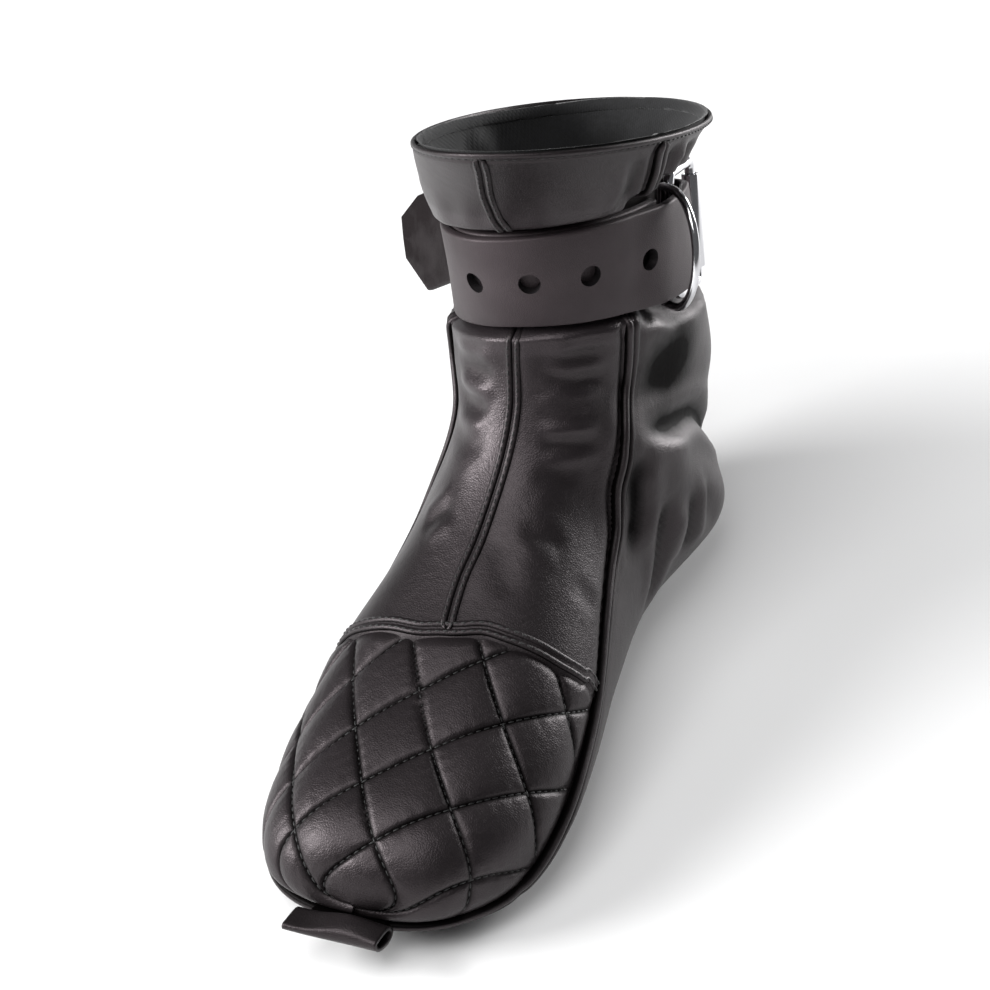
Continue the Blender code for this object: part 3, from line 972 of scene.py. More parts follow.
@dataclass
class Upper:
    """Padded leather shaft and vamp, open at the collar and underneath, with the folds that wearing has left
    in it.
    """

    cap: ToeCap
    around: int = 250
    along: int = 216
    wall: float = 2.8
    seam_height: float = 11.15
    row_knots: Path2 = ((0.0, 0.0), (0.1, 4.2), (0.26, 5.8), (0.80, 12.2), (0.92, 13.6), (1.0, 14.0))
    hem: float = 3.2
    hem_ditch: float = 0.75
    rim_round: float = 1.1
    gather: float = 0.3
    gather_count: float = 17.0
    gather_reach: float = 30.0
    gather_width: float = 8.0
    gather_sway: tuple[float, float] = (1.3, 3.0)
    uneven: float = 0.45
    uneven_waves: tuple[float, float, float, float] = (17.0, 29.0, 23.0, 37.0)
    seam_steps: int = 90
    seam_ditch: float = 1.8
    seam_ahead: float = 2.7
    seam_width: float = 1.15
    seam_puff: tuple[float, float, float] = (0.3, 7.5, 3.0)
    seam_step: tuple[float, float, float] = (-0.4, -5.8, 1.2)
    strap_gap: float = 0.3
    strap_roll: float = 5.0
    strap_clear: tuple[float, float] = (1.0, 6.0)
    hardware_fade: float = 12.0
    rim_hold: float = 10.0
    rim_share: float = 0.1
    hem_puff: tuple[float, float] = (0.3, 1.6)
    hem_line: float = 0.8
    under_cap: float = 3.8
    under_rows: float = 0.35
    under_ease: float = 3.0
    mark_height: float = 6.0
    mark_limits: tuple[float, float] = (-0.4, 0.3)
    folds: tuple[Fold, ...] = (
        Fold(((9.14, 16.8), (9.37, 30.7), (9.57, 46.2)), 0.54, 2.6, 0.7),
        Fold(((8.61, 8.8), (8.83, 26.7), (9.10, 43.7)), 0.74, 2.4, 0.7),
        Fold(((8.32, 5.3), (8.41, 17.8), (8.75, 34.2)), 0.61, 2.2, 0.7),
        Fold(((7.98, 6.3), (8.16, 19.2), (8.45, 34.7)), 0.74, 2.2, 0.7),
        Fold(((7.80, 7.8), (7.96, 21.7), (8.30, 37.7)), 0.61, 2.0, 0.6),
        Fold(((7.34, 13.3), (7.57, 28.2), (7.87, 42.7)), 0.74, 2.6, 0.7),
        Fold(((6.77, 14.1), (7.00, 30.0), (7.18, 42.9)), 0.41, 3.4),
        Fold(((6.08, 14.0), (6.12, 32.0), (6.14, 49.0)), 0.54, 3.4),
        Fold(((5.88, 53.0), (5.87, 64.7), (5.84, 74.0)), 0.30, 3.4),
        Fold(((6.00, 5.1), (5.66, 10.0), (5.39, 16.0), (5.10, 19.0)), 0.68, 5.2, 0.3),
        Fold(((8.95, -40.0), (8.66, -22.0), (8.60, -9.0)), 1.01, 3.4, 0.8),
        Fold(((8.36, -42.0), (8.00, -27.2), (7.85, -13.0)), 1.08, 3.4, 0.8),
        Fold(((7.60, -44.4), (7.30, -28.1), (7.16, -10.0)), 0.54, 4.1),
        Fold(((6.00, -42.0), (6.14, -32.0), (6.24, -20.0)), 0.88, 3.6, 0.7),
        Fold(((8.24, 55.0), (8.62, 74.0), (8.98, 96.0), (8.88, 120.0), (8.82, 146.0)), 2.60, 4.2, 0.5),
        Fold(((8.13, 60.7), (7.62, 65.1), (7.23, 78.6), (6.74, 90.3)), 2.00, 4.6, 0.5),
        Fold(((7.74, 80.7), (7.39, 90.9), (7.08, 107.3), (6.76, 123.5)), 1.88, 3.8, 0.6),
        Fold(((7.97, 87.4), (7.67, 99.1), (7.42, 113.9)), 2.00, 4.2, 0.6),
        Fold(((8.25, 98.3), (7.97, 103.5), (7.90, 124.0)), 1.00, 4.4, 0.5),
        Fold(((8.40, -62.0), (7.80, -70.0), (7.20, -82.0), (6.70, -92.0)), 1.50, 4.4, 0.5),
        Fold(((8.80, -84.0), (8.30, -96.0), (7.70, -108.0)), 1.50, 4.4, 0.5),
        Fold(((9.50, -72.0), (9.20, -92.0), (9.24, -112.0)), 1.60, 4.8, 0.5),
        Fold(((9.80, 150.0), (9.72, 172.0), (9.76, 204.0), (9.84, 232.0)), 1.40, 4.6, 0.5),
        Fold(((9.40, 160.0), (9.38, 184.0), (9.44, 214.0)), 1.00, 4.2, 0.5),
        Fold(((13.62, 59.1), (13.16, 60.4), (12.43, 59.1), (12.07, 55.9)), 1.50, 3.2, 0.5),
        Fold(((13.75, 79.3), (13.07, 78.4), (12.34, 77.4), (11.98, 76.1)), 1.80, 2.8, 0.7),
        Fold(((13.55, 92.0), (13.01, 88.5), (12.30, 88.3)), 1.50, 3.6, 0.6),
        Fold(((12.70, 150.0), (12.62, 172.0), (12.66, 196.0)), 0.90, 4.6, 0.4),
        Fold(((13.20, -74.0), (12.80, -70.0), (12.40, -64.0)), 1.10, 4.0, 0.5),
        Fold(((13.40, -104.0), (12.90, -112.0), (12.40, -116.0)), 1.00, 4.4, 0.5),
    )
    swells: tuple[Swell, ...] = (
        Swell(9.60, 116.0, 1.8, 14.0),
        Swell(9.40, 72.0, -1.4, 15.0),
        Swell(8.26, 117.0, 2.8, 14.0),
        Swell(8.20, 80.0, 1.2, 10.0),
        Swell(7.58, 94.9, 1.2, 9.0),
        Swell(9.60, -92.0, 2.2, 17.0),
        Swell(8.30, -112.0, 1.8, 15.0),
        Swell(6.53, 42.1, -0.8, 22.0),
        Swell(12.56, 27.4, 0.8, 20.0),
        Swell(12.87, -53.7, 0.8, 20.0),
        Swell(9.30, 180.0, 1.2, 20.0),
    )
    # Painted light and shade: a dark patch in the medial heel hollow, a light patch on the heel's bulge, and
    # lighter sides of the vamp
    painted_light_and_shade: tuple[Swell, ...] = (
        Swell(9.50, 84.0, -0.34, 20.0),
        Swell(8.30, 112.0, 0.16, 13.0),
        Swell(7.40, -34.0, 0.28, 38.0),
        Swell(7.40, 26.0, 0.15, 38.0),
    )

    def relief(self, row: Array, degrees: Array) -> Array:
        """Height of the folds, padding and hem over the last.

        Args:
            row: Rows from 0 to 14.
            degrees: Angles from the front seam.

        Returns:
            Heights.
        """
        points = LAST.skin(row, degrees)
        wrapped = (degrees + 180.0) % 360.0 - 180.0
        height = np.zeros(len(points))
        for fold in self.folds:
            height += fold.height(points)
        for swell in self.swells:
            height += swell.lift(points)
        x, y, z = points.T
        first, second, third, fourth = self.uneven_waves
        height += self.uneven * np.sin(x / first + y / second) * np.sin(z / third - y / fourth)
        away = np.abs(LAST.strap_distance(row, degrees))
        sway, sways = self.gather_sway
        turn = np.radians(degrees)
        pleat = np.sin(turn * self.gather_count + sway * np.sin(turn * sways))
        height += self.gather * pleat * hump(away - self.gather_reach, self.gather_width)
        for side in (1.0, -1.0):
            rows, turns = follow(MEDIAL_SEAM, self.seam_steps)
            distance, _ = gauge(points, LAST.skin(rows, side * turns))
            ahead = np.sign(np.interp(row, rows[::-1], turns[::-1]) - side * wrapped) * distance
            for depth, middle, width in (self.seam_puff, self.seam_step):
                height += depth * hump(ahead - middle, width)
            height -= self.seam_ditch * hump(ahead - self.seam_ahead, self.seam_width)
        under = away - LAST.strap_half
        first, last = LAST.hardware_span
        fades = (ease(gap / self.hardware_fade + 1.0) for gap in (wrapped - first, last - wrapped))
        clear = 1.0 - math.prod(fades)
        height = height * ease(under / LAST.cinch_ease)
        narrow = 1.0 - ease((under - self.strap_gap) / self.strap_roll)
        narrow = narrow * (LAST.cinch + LAST.pull(degrees))
        height += clear * (LAST.groove(row, degrees) - narrow)
        edge = np.linalg.norm(points - LAST.skin(np.full(len(points), float(ROWS)), degrees), axis=1)
        height = height * ease(edge / self.rim_hold + self.rim_share)
        puff, width = self.hem_puff
        height += puff * hump(edge - self.hem / 2.0, width)
        height -= self.hem_ditch * hump(edge - self.hem, self.hem_line)
        hidden = ease((self.cap.edge(degrees) - row) / self.under_rows)
        height -= self.under_cap * hidden * ease(self.cap.inside(points) / self.under_ease)
        roll = np.clip(1.0 - edge / self.rim_round, 0.0, 1.0)
        return height - self.rim_round * (1.0 - np.sqrt(np.maximum(1.0 - roll**2, 0.0)))

    def rail(self, path: Path2, count: int, lift: float, sunk: float) -> Rail:
        """Rail on the finished leather.

        Args:
            path: Corner points as row and angle.
            count: Points on the rail.
            lift: Height above the leather.
            sunk: Height lost under the strap.

        Returns:
            The rail.
        """
        rows, degrees = follow(path, count)
        away = np.abs(LAST.strap_distance(rows, degrees)) - LAST.strap_half
        first, run = self.strap_clear
        height = self.relief(rows, degrees) + lift - sunk * (1.0 - ease((away - first) / run))
        return Rail(LAST.skin(rows, degrees, height), LAST.outward(rows, degrees))

    def build(self, leather: bpy.types.Material, lining: bpy.types.Material) -> bpy.types.Object:
        """Make the shell.

        Args:
            leather: Outer finish.
            lining: Inner finish.

        Returns:
            The finished piece.
        """
        shares, rows = np.array(self.row_knots).T

        def place(u: Array, v: Array) -> tuple[Array, Array]:
            """Points and marks of the shell for shares round and along it."""
            row, degrees = np.interp(v, shares, rows), 360.0 * u - 180.0
            relief = self.relief(row, degrees)
            points = LAST.skin(row, degrees, relief)
            points[row == 0.0] = LAST.tip(0.0)
            # Fold marks follow the relief: painted shade darkens the troughs, and wear lightens the ridges
            marks = np.clip(relief / self.mark_height, *self.mark_limits)
            # Patches of painted light and painted shade are added to the fold marks
            for shade in self.painted_light_and_shade:
                marks += shade.lift(points)
            return LAST.metres(points), marks

        bm = warped_grid(self.around, self.along, place)
        trim(bm, np.array((0.0, 0.0, self.seam_height * MM)), UP)
        piece = make_piece("padded_upper", bm, leather, lining)
        add_wall(piece, self.wall, lining=1)
        settle(piece, stands_for="upper")
        return piece


@dataclass
class Seams:
    """Sewn joins: lapped side seams, felled front and toe seams, and their thread."""

    felled: Path2 = (
        (-2.9, -0.9), (-2.75, 0.15), (-2.35, 0.75), (-1.6, 0.95), (-0.85, 0.75), (-0.35, 0.2),
        (0.0, -0.35), (0.35, 0.2), (0.85, 0.75), (1.6, 0.95), (2.35, 0.75), (2.75, 0.15),
        (2.9, -0.9),
    )
    lapped: Path2 = (
        (1.8, -1.7), (1.6, 0.0), (1.2, 0.85), (0.4, 1.25), (-0.5, 1.1), (-1.2, 0.6), (-1.65, -0.2),
        (-2.1, 0.35), (-2.9, 0.65), (-3.8, 0.5), (-4.6, 0.0), (-5.0, -0.9),
    )
    lapped_lift: float = 0.2
    lapped_sunk: float = 2.6
    lapped_taper: float = 4.0
    front_lift: float = 0.1
    front_sunk: float = 1.4
    felled_taper: float = 3.0
    side_steps: tuple[int, int] = (260, 280)
    front_steps: tuple[int, int] = (220, 240)
    toe_steps: tuple[int, int] = (160, 170)
    toe_span: float = 88.0
    toe_lift: float = 1.4
    row_aside: float = 1.6
    row_lift: float = 0.9
    collar_below: float = 0.16
    collar_lift: float = 0.15
    collar_steps: int = 300
    stitching: Stitching = field(default_factory=Stitching)
    quilting: Stitching = field(default_factory=lambda: Stitching(3.0, 2.7, 0.42, 6, 0.1))

    def build(self, upper: Upper, leather: bpy.types.Material, thread: bpy.types.Material) -> None:
        """Make every seam and its stitches.

        Args:
            upper: The shell that carries the seams and the toe cap.
            leather: Finish of the seams.
            thread: Finish of the stitches.
        """
        flipped = tuple((-across, above) for across, above in self.lapped)
        points, faces = self.side_steps
        medial = upper.rail(MEDIAL_SEAM, points, self.lapped_lift, self.lapped_sunk)
        lateral = upper.rail(mirrored(MEDIAL_SEAM), points, self.lapped_lift, self.lapped_sunk)
        front = upper.rail(FRONT_SEAM, self.front_steps[0], self.front_lift, self.front_sunk)
        toe = self.toe_rail(upper.cap)
        for name, rail, profile, along, taper in (
            ("medial_seam", medial, self.lapped, faces, self.lapped_taper),
            ("lateral_seam", lateral, flipped, faces, self.lapped_taper),
            ("front_seam", front, self.felled, self.front_steps[1], self.felled_taper),
            ("toe_seam", toe, self.felled, self.toe_steps[1], self.felled_taper),
        ):
            settle(make_piece(name, rail.sweep(profile, along, taper), leather))
        sewn = bmesh.new()
        for rail in (front, toe):
            raised = Rail(rail.points + rail.normals * self.row_lift, rail.normals)
            for aside in (-self.row_aside, self.row_aside):
                self.stitching.sew(sewn, raised, aside)
        turn = np.linspace(-180.0, 180.0, self.collar_steps)
        rows = np.full(len(turn), ROWS - self.collar_below)
        height = upper.relief(rows, turn) + self.collar_lift
        self.stitching.sew(sewn, Rail(LAST.skin(rows, turn, height), LAST.outward(rows, turn)), 0.0)
        settle(make_piece("seam_stitches", sewn, thread))
        sewn = bmesh.new()
        for rail in upper.cap.rails():
            self.quilting.sew(sewn, rail, 0.0)
        settle(make_piece("quilting_stitches", sewn, thread))

    def toe_rail(self, cap: ToeCap) -> Rail:
        """Rail along the cap's rear edge, from one side seam to the other.

        Args:
            cap: The quilted toe.

        Returns:
            The rail.
        """
        degrees = np.linspace(-self.toe_span, self.toe_span, self.toe_steps[0])
        rows = cap.edge(degrees)
        return Rail(LAST.skin(rows, degrees, cap.lift + self.toe_lift), LAST.outward(rows, degrees))


@dataclass
class Sole:
    """Turned leather sole: a flat tread whose edge rises to the upper."""

    around: int = 200
    along: int = 130
    top_row: float = 10.0
    height: float = 10.85
    tread: float = 3.5
    wall: float = 4.3
    patchy: float = 0.02
    patch: float = 9.0

    def build(self, edge: bpy.types.Material, tread: bpy.types.Material) -> bpy.types.Object:
        """Make the dished sole.

        Args:
            edge: Finish of the rising edge.
            tread: Finish of the tread.

        Returns:
            The finished piece.
        """

        def place(u: Array, v: Array) -> tuple[Array, Array]:
            """Points and marks of the dish for shares round and along it."""
            row, degrees = v * self.top_row, 360.0 * u - 180.0
            points = LAST.skin(row, degrees)
            points[row == 0.0] = LAST.tip(0.0)
            points[:, 2] = np.maximum(points[:, 2], 0.0)
            return LAST.metres(points), self.patchy * np.sin(points[:, 1] / self.patch)

        bm = warped_grid(self.around, self.along, place)
        trim(bm, np.array((0.0, 0.0, self.height * MM)), UP, below=False)
        for face in bm.faces:
            face.material_index = int(face.calc_center_median().z < self.tread * MM)
        piece = make_piece("turned_sole", bm, edge, tread)
        add_wall(piece, self.wall)
        settle(piece, stands_for="sole")
        return piece


@dataclass
class AnkleStrap:
    """Wide belt-leather strap: one turn under the buckle, a second over the front, and a tail."""

    half: float = LAST.strap_half
    thick: float = 3.2
    corner: float = 0.9
    corner_steps: int = 4
    crown: float = 0.2
    seat: float = -6.7
    start: float = 82.0
    under_roller: float = 121.0
    on_keeper: float = 108.0
    off_keeper: float = 82.0
    settled: float = 60.0
    keeper_lift: float = 6.1
    second_lift: float = 3.6
    leaves: float = -96.0
    tail: float = 58.0
    tail_flare: float = 49.0
    tail_bend: float = 8.0
    tail_drop: float = 26.0
    tail_sink: float = 41.0
    tip: float = 17.0
    tip_half: float = 8.5
    tip_rise: float = 4.7
    tail_shade: float = -0.32
    tail_shaded: float = 0.25
    edge_wear: float = 0.06
    stations: int = 230
    tail_stations: int = 34
    tip_stations: int = 8
    hole_radius: float = 3.6
    hole_reach: float = 6.0
    hole_bite: float = 0.2
    hole_flare: float = 0.5
    hole_sides: int = 32
    hole_angles: tuple[float, ...] = (-15.0, 13.0, 40.5, 70.0)

    def frames(self, degrees: Array) -> tuple[Array, Array, Array, Array]:
        """Middle points, tangents, normals and width axes of the strap's seat.

        Args:
            degrees: Angles round the ankle.

        Returns:
            Points and three sets of unit vectors.
        """
        row = np.full(np.shape(degrees), LAST.strap_row)
        tangent = unit(LAST.envelope(row, degrees + LAST.slope) - LAST.envelope(row, degrees - LAST.slope))
        normal = LAST.outward(row, degrees)
        normal = unit(normal - tangent * (normal * tangent).sum(axis=-1, keepdims=True))
        return LAST.envelope(row, degrees), tangent, normal, np.cross(normal, tangent)

    def height(self, degrees: Array) -> Array:
        """Height of the inner face, by an angle that falls a full turn for the second layer."""
        second = degrees + 360.0
        climb = ease((self.under_roller - second) / (self.under_roller - self.on_keeper))
        drop = ease((self.off_keeper - second) / (self.off_keeper - self.settled))
        rise = self.keeper_lift * climb - (self.keeper_lift - self.second_lift) * drop
        return self.seat - LAST.pull(degrees) + rise

    def sections(self) -> tuple[Array, Array, Array, Array]:
        """Middle points, normals, width axes and half widths from the sewn end to the tip.

        Returns:
            Arrays with one entry for each section.
        """
        finish = self.leaves - 360.0
        degrees = np.linspace(self.start, finish, self.stations)
        points, _, normals, axes = self.frames(degrees)
        points = points + normals * self.height(degrees)[:, None]
        _, tangent, normal, axis = (part[0] for part in self.frames(np.array([self.leaves])))
        reach = np.linspace(0.0, self.tail, self.tail_stations + 1)[1:, None]
        flare = math.radians(self.tail_flare) * ease(reach / self.tail_bend)
        drop = math.radians(self.tail_drop) * ease(reach / self.tail_sink)
        ahead = normal * np.sin(flare) - tangent * np.cos(flare)
        faces = normal * np.cos(flare) + tangent * np.sin(flare)
        runs = ahead * np.cos(drop) - axis * np.sin(drop)
        uprights = axis * np.cos(drop) + ahead * np.sin(drop)
        tail = points[-1] + np.cumsum(runs, axis=0) * self.tail / self.tail_stations
        share = np.linspace(0.0, 1.0, self.tip_stations + 1)[1:, None]
        tip = tail[-1] + (runs[-1] * self.tip + uprights[-1] * self.tip_rise) * share
        halves = np.interp(share[:, 0], (0.0, 1.0), (self.half, self.tip_half))
        return (
            np.vstack([points, tail, tip]),
            np.vstack([normals, faces, np.repeat(faces[-1:], self.tip_stations, axis=0)]),
            np.vstack([axes, uprights, np.repeat(uprights[-1:], self.tip_stations, axis=0)]),
            np.concatenate([np.full(self.stations + self.tail_stations, self.half), halves]),
        )

    def profile(self) -> Array:
        """Half-rounded band section: side of the edge, distance in from it, and height.

        Returns:
            One row for each point round the section.
        """
        turns = np.radians(np.linspace(0.0, 90.0, self.corner_steps))
        inset = self.corner * (1.0 - np.sin(turns))
        rise = self.corner * (1.0 - np.cos(turns))
        low = [(1.0, x, y) for x, y in zip(inset, rise)]
        high = [(1.0, x, self.thick - y) for x, y in zip(inset[::-1], rise[::-1])]
        top = self.thick + self.crown
        crown = [(1.0, self.half / 2.0, top), (0.0, 0.0, top), (-1.0, self.half / 2.0, top)]
        right = low + high
        left = [(-1.0, x, y) for _, x, y in right[::-1]]
        return np.array(right + crown + left + [right[0]])

    def build(self, leather: bpy.types.Material, edge: bpy.types.Material) -> bpy.types.Object:
        """Make the strap and punch its holes.

        Args:
            leather: Finish of the faces.
            edge: Finish of the cut edges and hole walls.

        Returns:
            The finished piece.
        """
        points, normals, axes, halves = self.sections()
        profile = self.profile()

        def place(u: Array, v: Array) -> tuple[Array, Array]:
            """Points and marks of the band for shares round and along it."""
            station = np.round(v * (len(points) - 1)).astype(int)
            side, inset, rise = profile[np.round(u * (len(profile) - 1)).astype(int)].T
            width = side * np.maximum(halves[station] - inset, 0.0)
            shape = axes[station] * width[:, None] + normals[station] * rise[:, None]
            # The tail is darkened with painted shadow, and wear lightens the rounded edges
            away = ease((station - self.stations) / (self.tail_stations * self.tail_shaded))
            marks = np.where(inset < self.corner, self.edge_wear, 0.0) + self.tail_shade * away
            return LAST.metres(points[station] + shape), marks

        bm = warped_grid(len(profile) - 1, len(points) - 1, place)
        rims = [item for item in bm.edges if item.is_boundary]
        bmesh.ops.holes_fill(bm, edges=rims, sides=0)
        bmesh.ops.recalc_face_normals(bm, faces=bm.faces)
        piece = make_piece("belt_strap", bm, leather, edge)
        punch(piece, self.holes())
        settle(piece, stands_for="ankle_strap")
        return piece

    def holes(self) -> bmesh.types.BMesh:
        """Pins that punch the row of holes through the outer turn.

        Returns:
            A bmesh of all the pins, in metres.
        """
        degrees = np.array(self.hole_angles)
        points, _, normals, _ = self.frames(degrees)
        low = self.height(degrees - 360.0) - self.hole_bite
        pins = bmesh.new()
        for point, normal, base in zip(points, normals, low):
            centre = LAST.metres(point + normal * (base + self.hole_reach / 2.0))
            turn = Vector(normal).to_track_quat("Z", "Y").to_matrix().to_4x4()
            bmesh.ops.create_cone(
                pins,
                cap_ends=True,
                segments=self.hole_sides,
                radius1=self.hole_radius * MM,
                radius2=(self.hole_radius + self.hole_flare) * MM,
                depth=self.hole_reach * MM,
                matrix=Matrix.Translation(centre) @ turn,
            )
        return pins


def softened(node: str, radius: float, sharp: float = 50.0) -> bmesh.types.BMesh:
    """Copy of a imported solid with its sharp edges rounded.

    Args:
        node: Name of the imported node.
        radius: Radius of the rounding in millimetres.
        sharp: Least angle between two faces, in degrees, of an edge that is rounded.

    Returns:
        The mesh.
    """
    bm = bmesh.new()
    bm.from_mesh(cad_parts[node].data)
    bmesh.ops.remove_doubles(bm, verts=bm.verts, dist=1e-6)
    least = math.radians(sharp)
    edges = [item for item in bm.edges if item.is_manifold and item.calc_face_angle(0.0) > least]
    bmesh.ops.bevel(
        bm,
        geom=edges,
        offset=radius * MM,
        affect="EDGES",
        segments=2,
        profile=0.5,
        material=-1,
        clamp_overlap=True,
    )
    return bm


def punch(piece: bpy.types.Object, pins: bmesh.types.BMesh, crisp: float = 38.0) -> None:
    """Cut pins out of a piece, giving the cut walls the piece's second material.

    Args:
        piece: The piece, whose mesh is changed.
        pins: Mesh of the pins, which is freed.
        crisp: Angle between two faces, in degrees, from which their edge is drawn crisp.
    """
    for face in pins.faces:
        face.material_index = 1
    cutter = make_piece("punch", pins, *piece.data.materials)
    cut = piece.modifiers.new("punch", "BOOLEAN")
    cut.operation = "DIFFERENCE"
    cut.solver = "EXACT"
    cut.object = cutter
    graph = bpy.context.evaluated_depsgraph_get()
    made = bpy.data.meshes.new_from_object(piece.evaluated_get(graph))
    piece.modifiers.clear()
    piece.data = made
    bpy.data.objects.remove(cutter, do_unlink=True)
    bm = bmesh.new()
    bm.from_mesh(made)
    for item in bm.edges:
        item.smooth = item.is_manifold and item.calc_face_angle(0.0) < math.radians(crisp)
    bm.to_mesh(made)
    bm.free()


@dataclass
class Hardware:
    """Chromed fittings at the strap's sewn end: D-ring, roller buckle and their leather keeper."""

    strap: AnkleStrap
    keeper_thick: float = 5.4
    keeper_bevel: float = 0.5
    ring_angle: float = 89.0
    ring_wire: float = 1.5
    ring_half: float = 21.0
    ring_straight: float = 7.0
    ring_depth: float = 15.0
    ring_lean: float = -38.0
    frame_heel: float = 102.5
    frame_roller: float = 126.0
    frame_half: float = 22.0
    frame_wire: float = 1.9
    frame_corner: float = 3.0
    roller_lift: float = 9.2
    roller_radius: float = 3.2
    roller_bore: float = 2.2
    roller_half: float = 17.0
    roller_round: float = 0.3
    roller_sides: int = 40
    wire_sides: int = 20
    bow_steps: int = 49
    bend_steps: int = 7
    corner_steps: int = 9

    def stand(self, degrees: float, height: float) -> tuple[Array, Array, Array, Array]:
        """Point over the strap's seat with its tangent, normal and width axis.

        Args:
            degrees: Angle round the ankle.
            height: Height above the last.

        Returns:
            The point and three unit vectors.
        """
        point, tangent, normal, axis = (part[0] for part in self.strap.frames(np.array([degrees])))
        return point + normal * height, tangent, normal, axis

    def wire(self, loop: Array, plane: Array, radius: float) -> bmesh.types.BMesh:
        """Closed loop of round wire.

        Args:
            loop: Points of the loop in order.
            plane: Normal of the loop's plane.
            radius: Radius of the wire.

        Returns:
            The wire's bmesh in metres.
        """
        closed = np.vstack([loop, loop[:1]])
        around = np.vstack([loop[-1:], closed, loop[1:2]])
        tangents = unit(around[2:] - around[:-2])
        outs = np.cross(tangents, plane)

        def place(u: Array, v: Array) -> tuple[Array, Array]:
            """Points and marks of the wire for shares round and along it."""
            station = np.round(v * (len(closed) - 1)).astype(int)
            turn = 2.0 * np.pi * u[:, None]
            shape = outs[station] * np.cos(turn) + plane * np.sin(turn)
            return LAST.metres(closed[station] + shape * radius), np.zeros(len(u))

        bm = warped_grid(self.wire_sides, len(closed) - 1, place)
        bmesh.ops.recalc_face_normals(bm, faces=bm.faces)
        return bm

    def build_ring(self, steel: bpy.types.Material) -> bpy.types.Object:
        """Make the D-ring, whose straight bar lies in the keeper.

        Args:
            steel: Finish of the ring.

        Returns:
            The finished piece.
        """
        bar, tangent, normal, axis = self.stand(self.ring_angle, self.strap.seat + self.keeper_thick / 2.0)
        lean = math.radians(self.ring_lean)
        out = normal * math.cos(lean) + tangent * math.sin(lean)
        turns = np.linspace(0.0, np.pi, self.bow_steps)
        bow = [
            bar
            + axis * self.ring_half * math.cos(turn)
            + out * (self.ring_straight + self.ring_depth * math.sin(turn))
            for turn in turns
        ]
        bend = self.ring_wire
        steps = np.radians(np.linspace(0.0, 90.0, self.bend_steps))
        corners = [
            bar
            + axis * side * (self.ring_half - bend + bend * math.cos(step))
            + out * bend * (1.0 - math.sin(step))
            for side, order in ((-1.0, steps), (1.0, steps[::-1]))
            for step in order
        ]
        loop = np.array(bow + corners)
        piece = make_piece("chrome_d_ring", self.wire(loop, np.cross(axis, out), self.ring_wire), steel)
        settle(piece, Body.RING, "d_ring")
        return piece

    def build_buckle(self, steel: bpy.types.Material) -> None:
        """Make the buckle's frame and its roller.

        Args:
            steel: Finish of both.
        """
        heel, _, _, axis = self.stand(self.frame_heel, self.strap.seat + self.keeper_thick / 2.0)
        end, _, _, _ = self.stand(self.frame_roller, self.strap.seat + self.roller_lift)
        span = end - heel
        span = span - axis * (span @ axis)
        along = span / np.linalg.norm(span)
        loop = []
        for far, side, start in ((0.0, -1.0, 180.0), (1.0, -1.0, 270.0), (1.0, 1.0, 0.0), (0.0, 1.0, 90.0)):
            inset = along * self.frame_corner * (1.0 - 2.0 * far)
            centre = heel + span * far + inset + axis * side * (self.frame_half - self.frame_corner)
            for turn in np.radians(start + np.linspace(0.0, 90.0, self.corner_steps)):
                loop.append(centre + (along * math.cos(turn) + axis * math.sin(turn)) * self.frame_corner)
        frame_mesh = self.wire(np.array(loop), np.cross(along, axis), self.frame_wire)
        settle(make_piece("chrome_buckle", frame_mesh, steel), stands_for="buckle_frame")
        piece = make_piece("chrome_roller", self.roller(heel + span, axis), steel)
        settle(piece, stands_for="buckle_roller")

    def roller(self, centre: Array, axis: Array) -> bmesh.types.BMesh:
        """Tube that turns on the buckle's outer bar.

        Args:
            centre: Middle of the tube.
            axis: Direction of its length.

        Returns:
            The tube's bmesh in metres.
        """
        bm = bmesh.new()
        thick = (self.roller_radius - self.roller_bore) * MM
        middle = (self.roller_radius + self.roller_bore) / 2.0 * MM
        place = Matrix.Translation((middle, 0.0, 0.0))
        flat = Matrix.Rotation(math.radians(90.0), 4, "X")
        bmesh.ops.create_grid(bm, x_segments=1, y_segments=1, size=0.5, matrix=place @ flat)
        bmesh.ops.delete(bm, geom=bm.faces[:], context="FACES_ONLY")
        for vert in bm.verts:
            vert.co.x = middle + math.copysign(thick / 2.0, vert.co.x - middle)
            vert.co.z = math.copysign(self.roller_half * MM, vert.co.z)
        bmesh.ops.bevel(
            bm,
            geom=bm.verts[:],
            offset=self.roller_round * MM,
            affect="VERTICES",
            segments=3,
            profile=0.5,
            material=-1,
        )
        bmesh.ops.spin(
            bm,
            geom=bm.verts[:] + bm.edges[:],
            cent=(0.0, 0.0, 0.0),
            axis=UP,
            angle=2.0 * math.pi,
            steps=self.roller_sides,
            use_merge=True,
        )
        bmesh.ops.remove_doubles(bm, verts=bm.verts, dist=1e-7)
        bmesh.ops.recalc_face_normals(bm, faces=bm.faces)
        turn = Vector(axis).to_track_quat("Z", "Y").to_matrix().to_4x4()
        bmesh.ops.transform(bm, matrix=Matrix.Translation(LAST.metres(centre)) @ turn, verts=bm.verts)
        return bm

    def build_keeper(self, leather: bpy.types.Material) -> bpy.types.Object:
        """Make the leather keeper of the ring and the buckle.

        Args:
            leather: Finish of the keeper.

        Returns:
            The finished piece.
        """
        piece = make_piece("leather_keeper", softened("bar_keeper", self.keeper_bevel), leather)
        settle(piece, stands_for="bar_keeper")
        return piece


@dataclass
class Footbed:
    """Cloth-covered insole with rounded edges."""

    rounding: float = 0.6

    def build(self, cloth: bpy.types.Material) -> bpy.types.Object:
        """Make the footbed.

        Args:
            cloth: Finish of its cover.

        Returns:
            The finished piece.
        """
        piece = make_piece("cloth_footbed", softened("insole", self.rounding), cloth)
        settle(piece, stands_for="insole")
        return piece


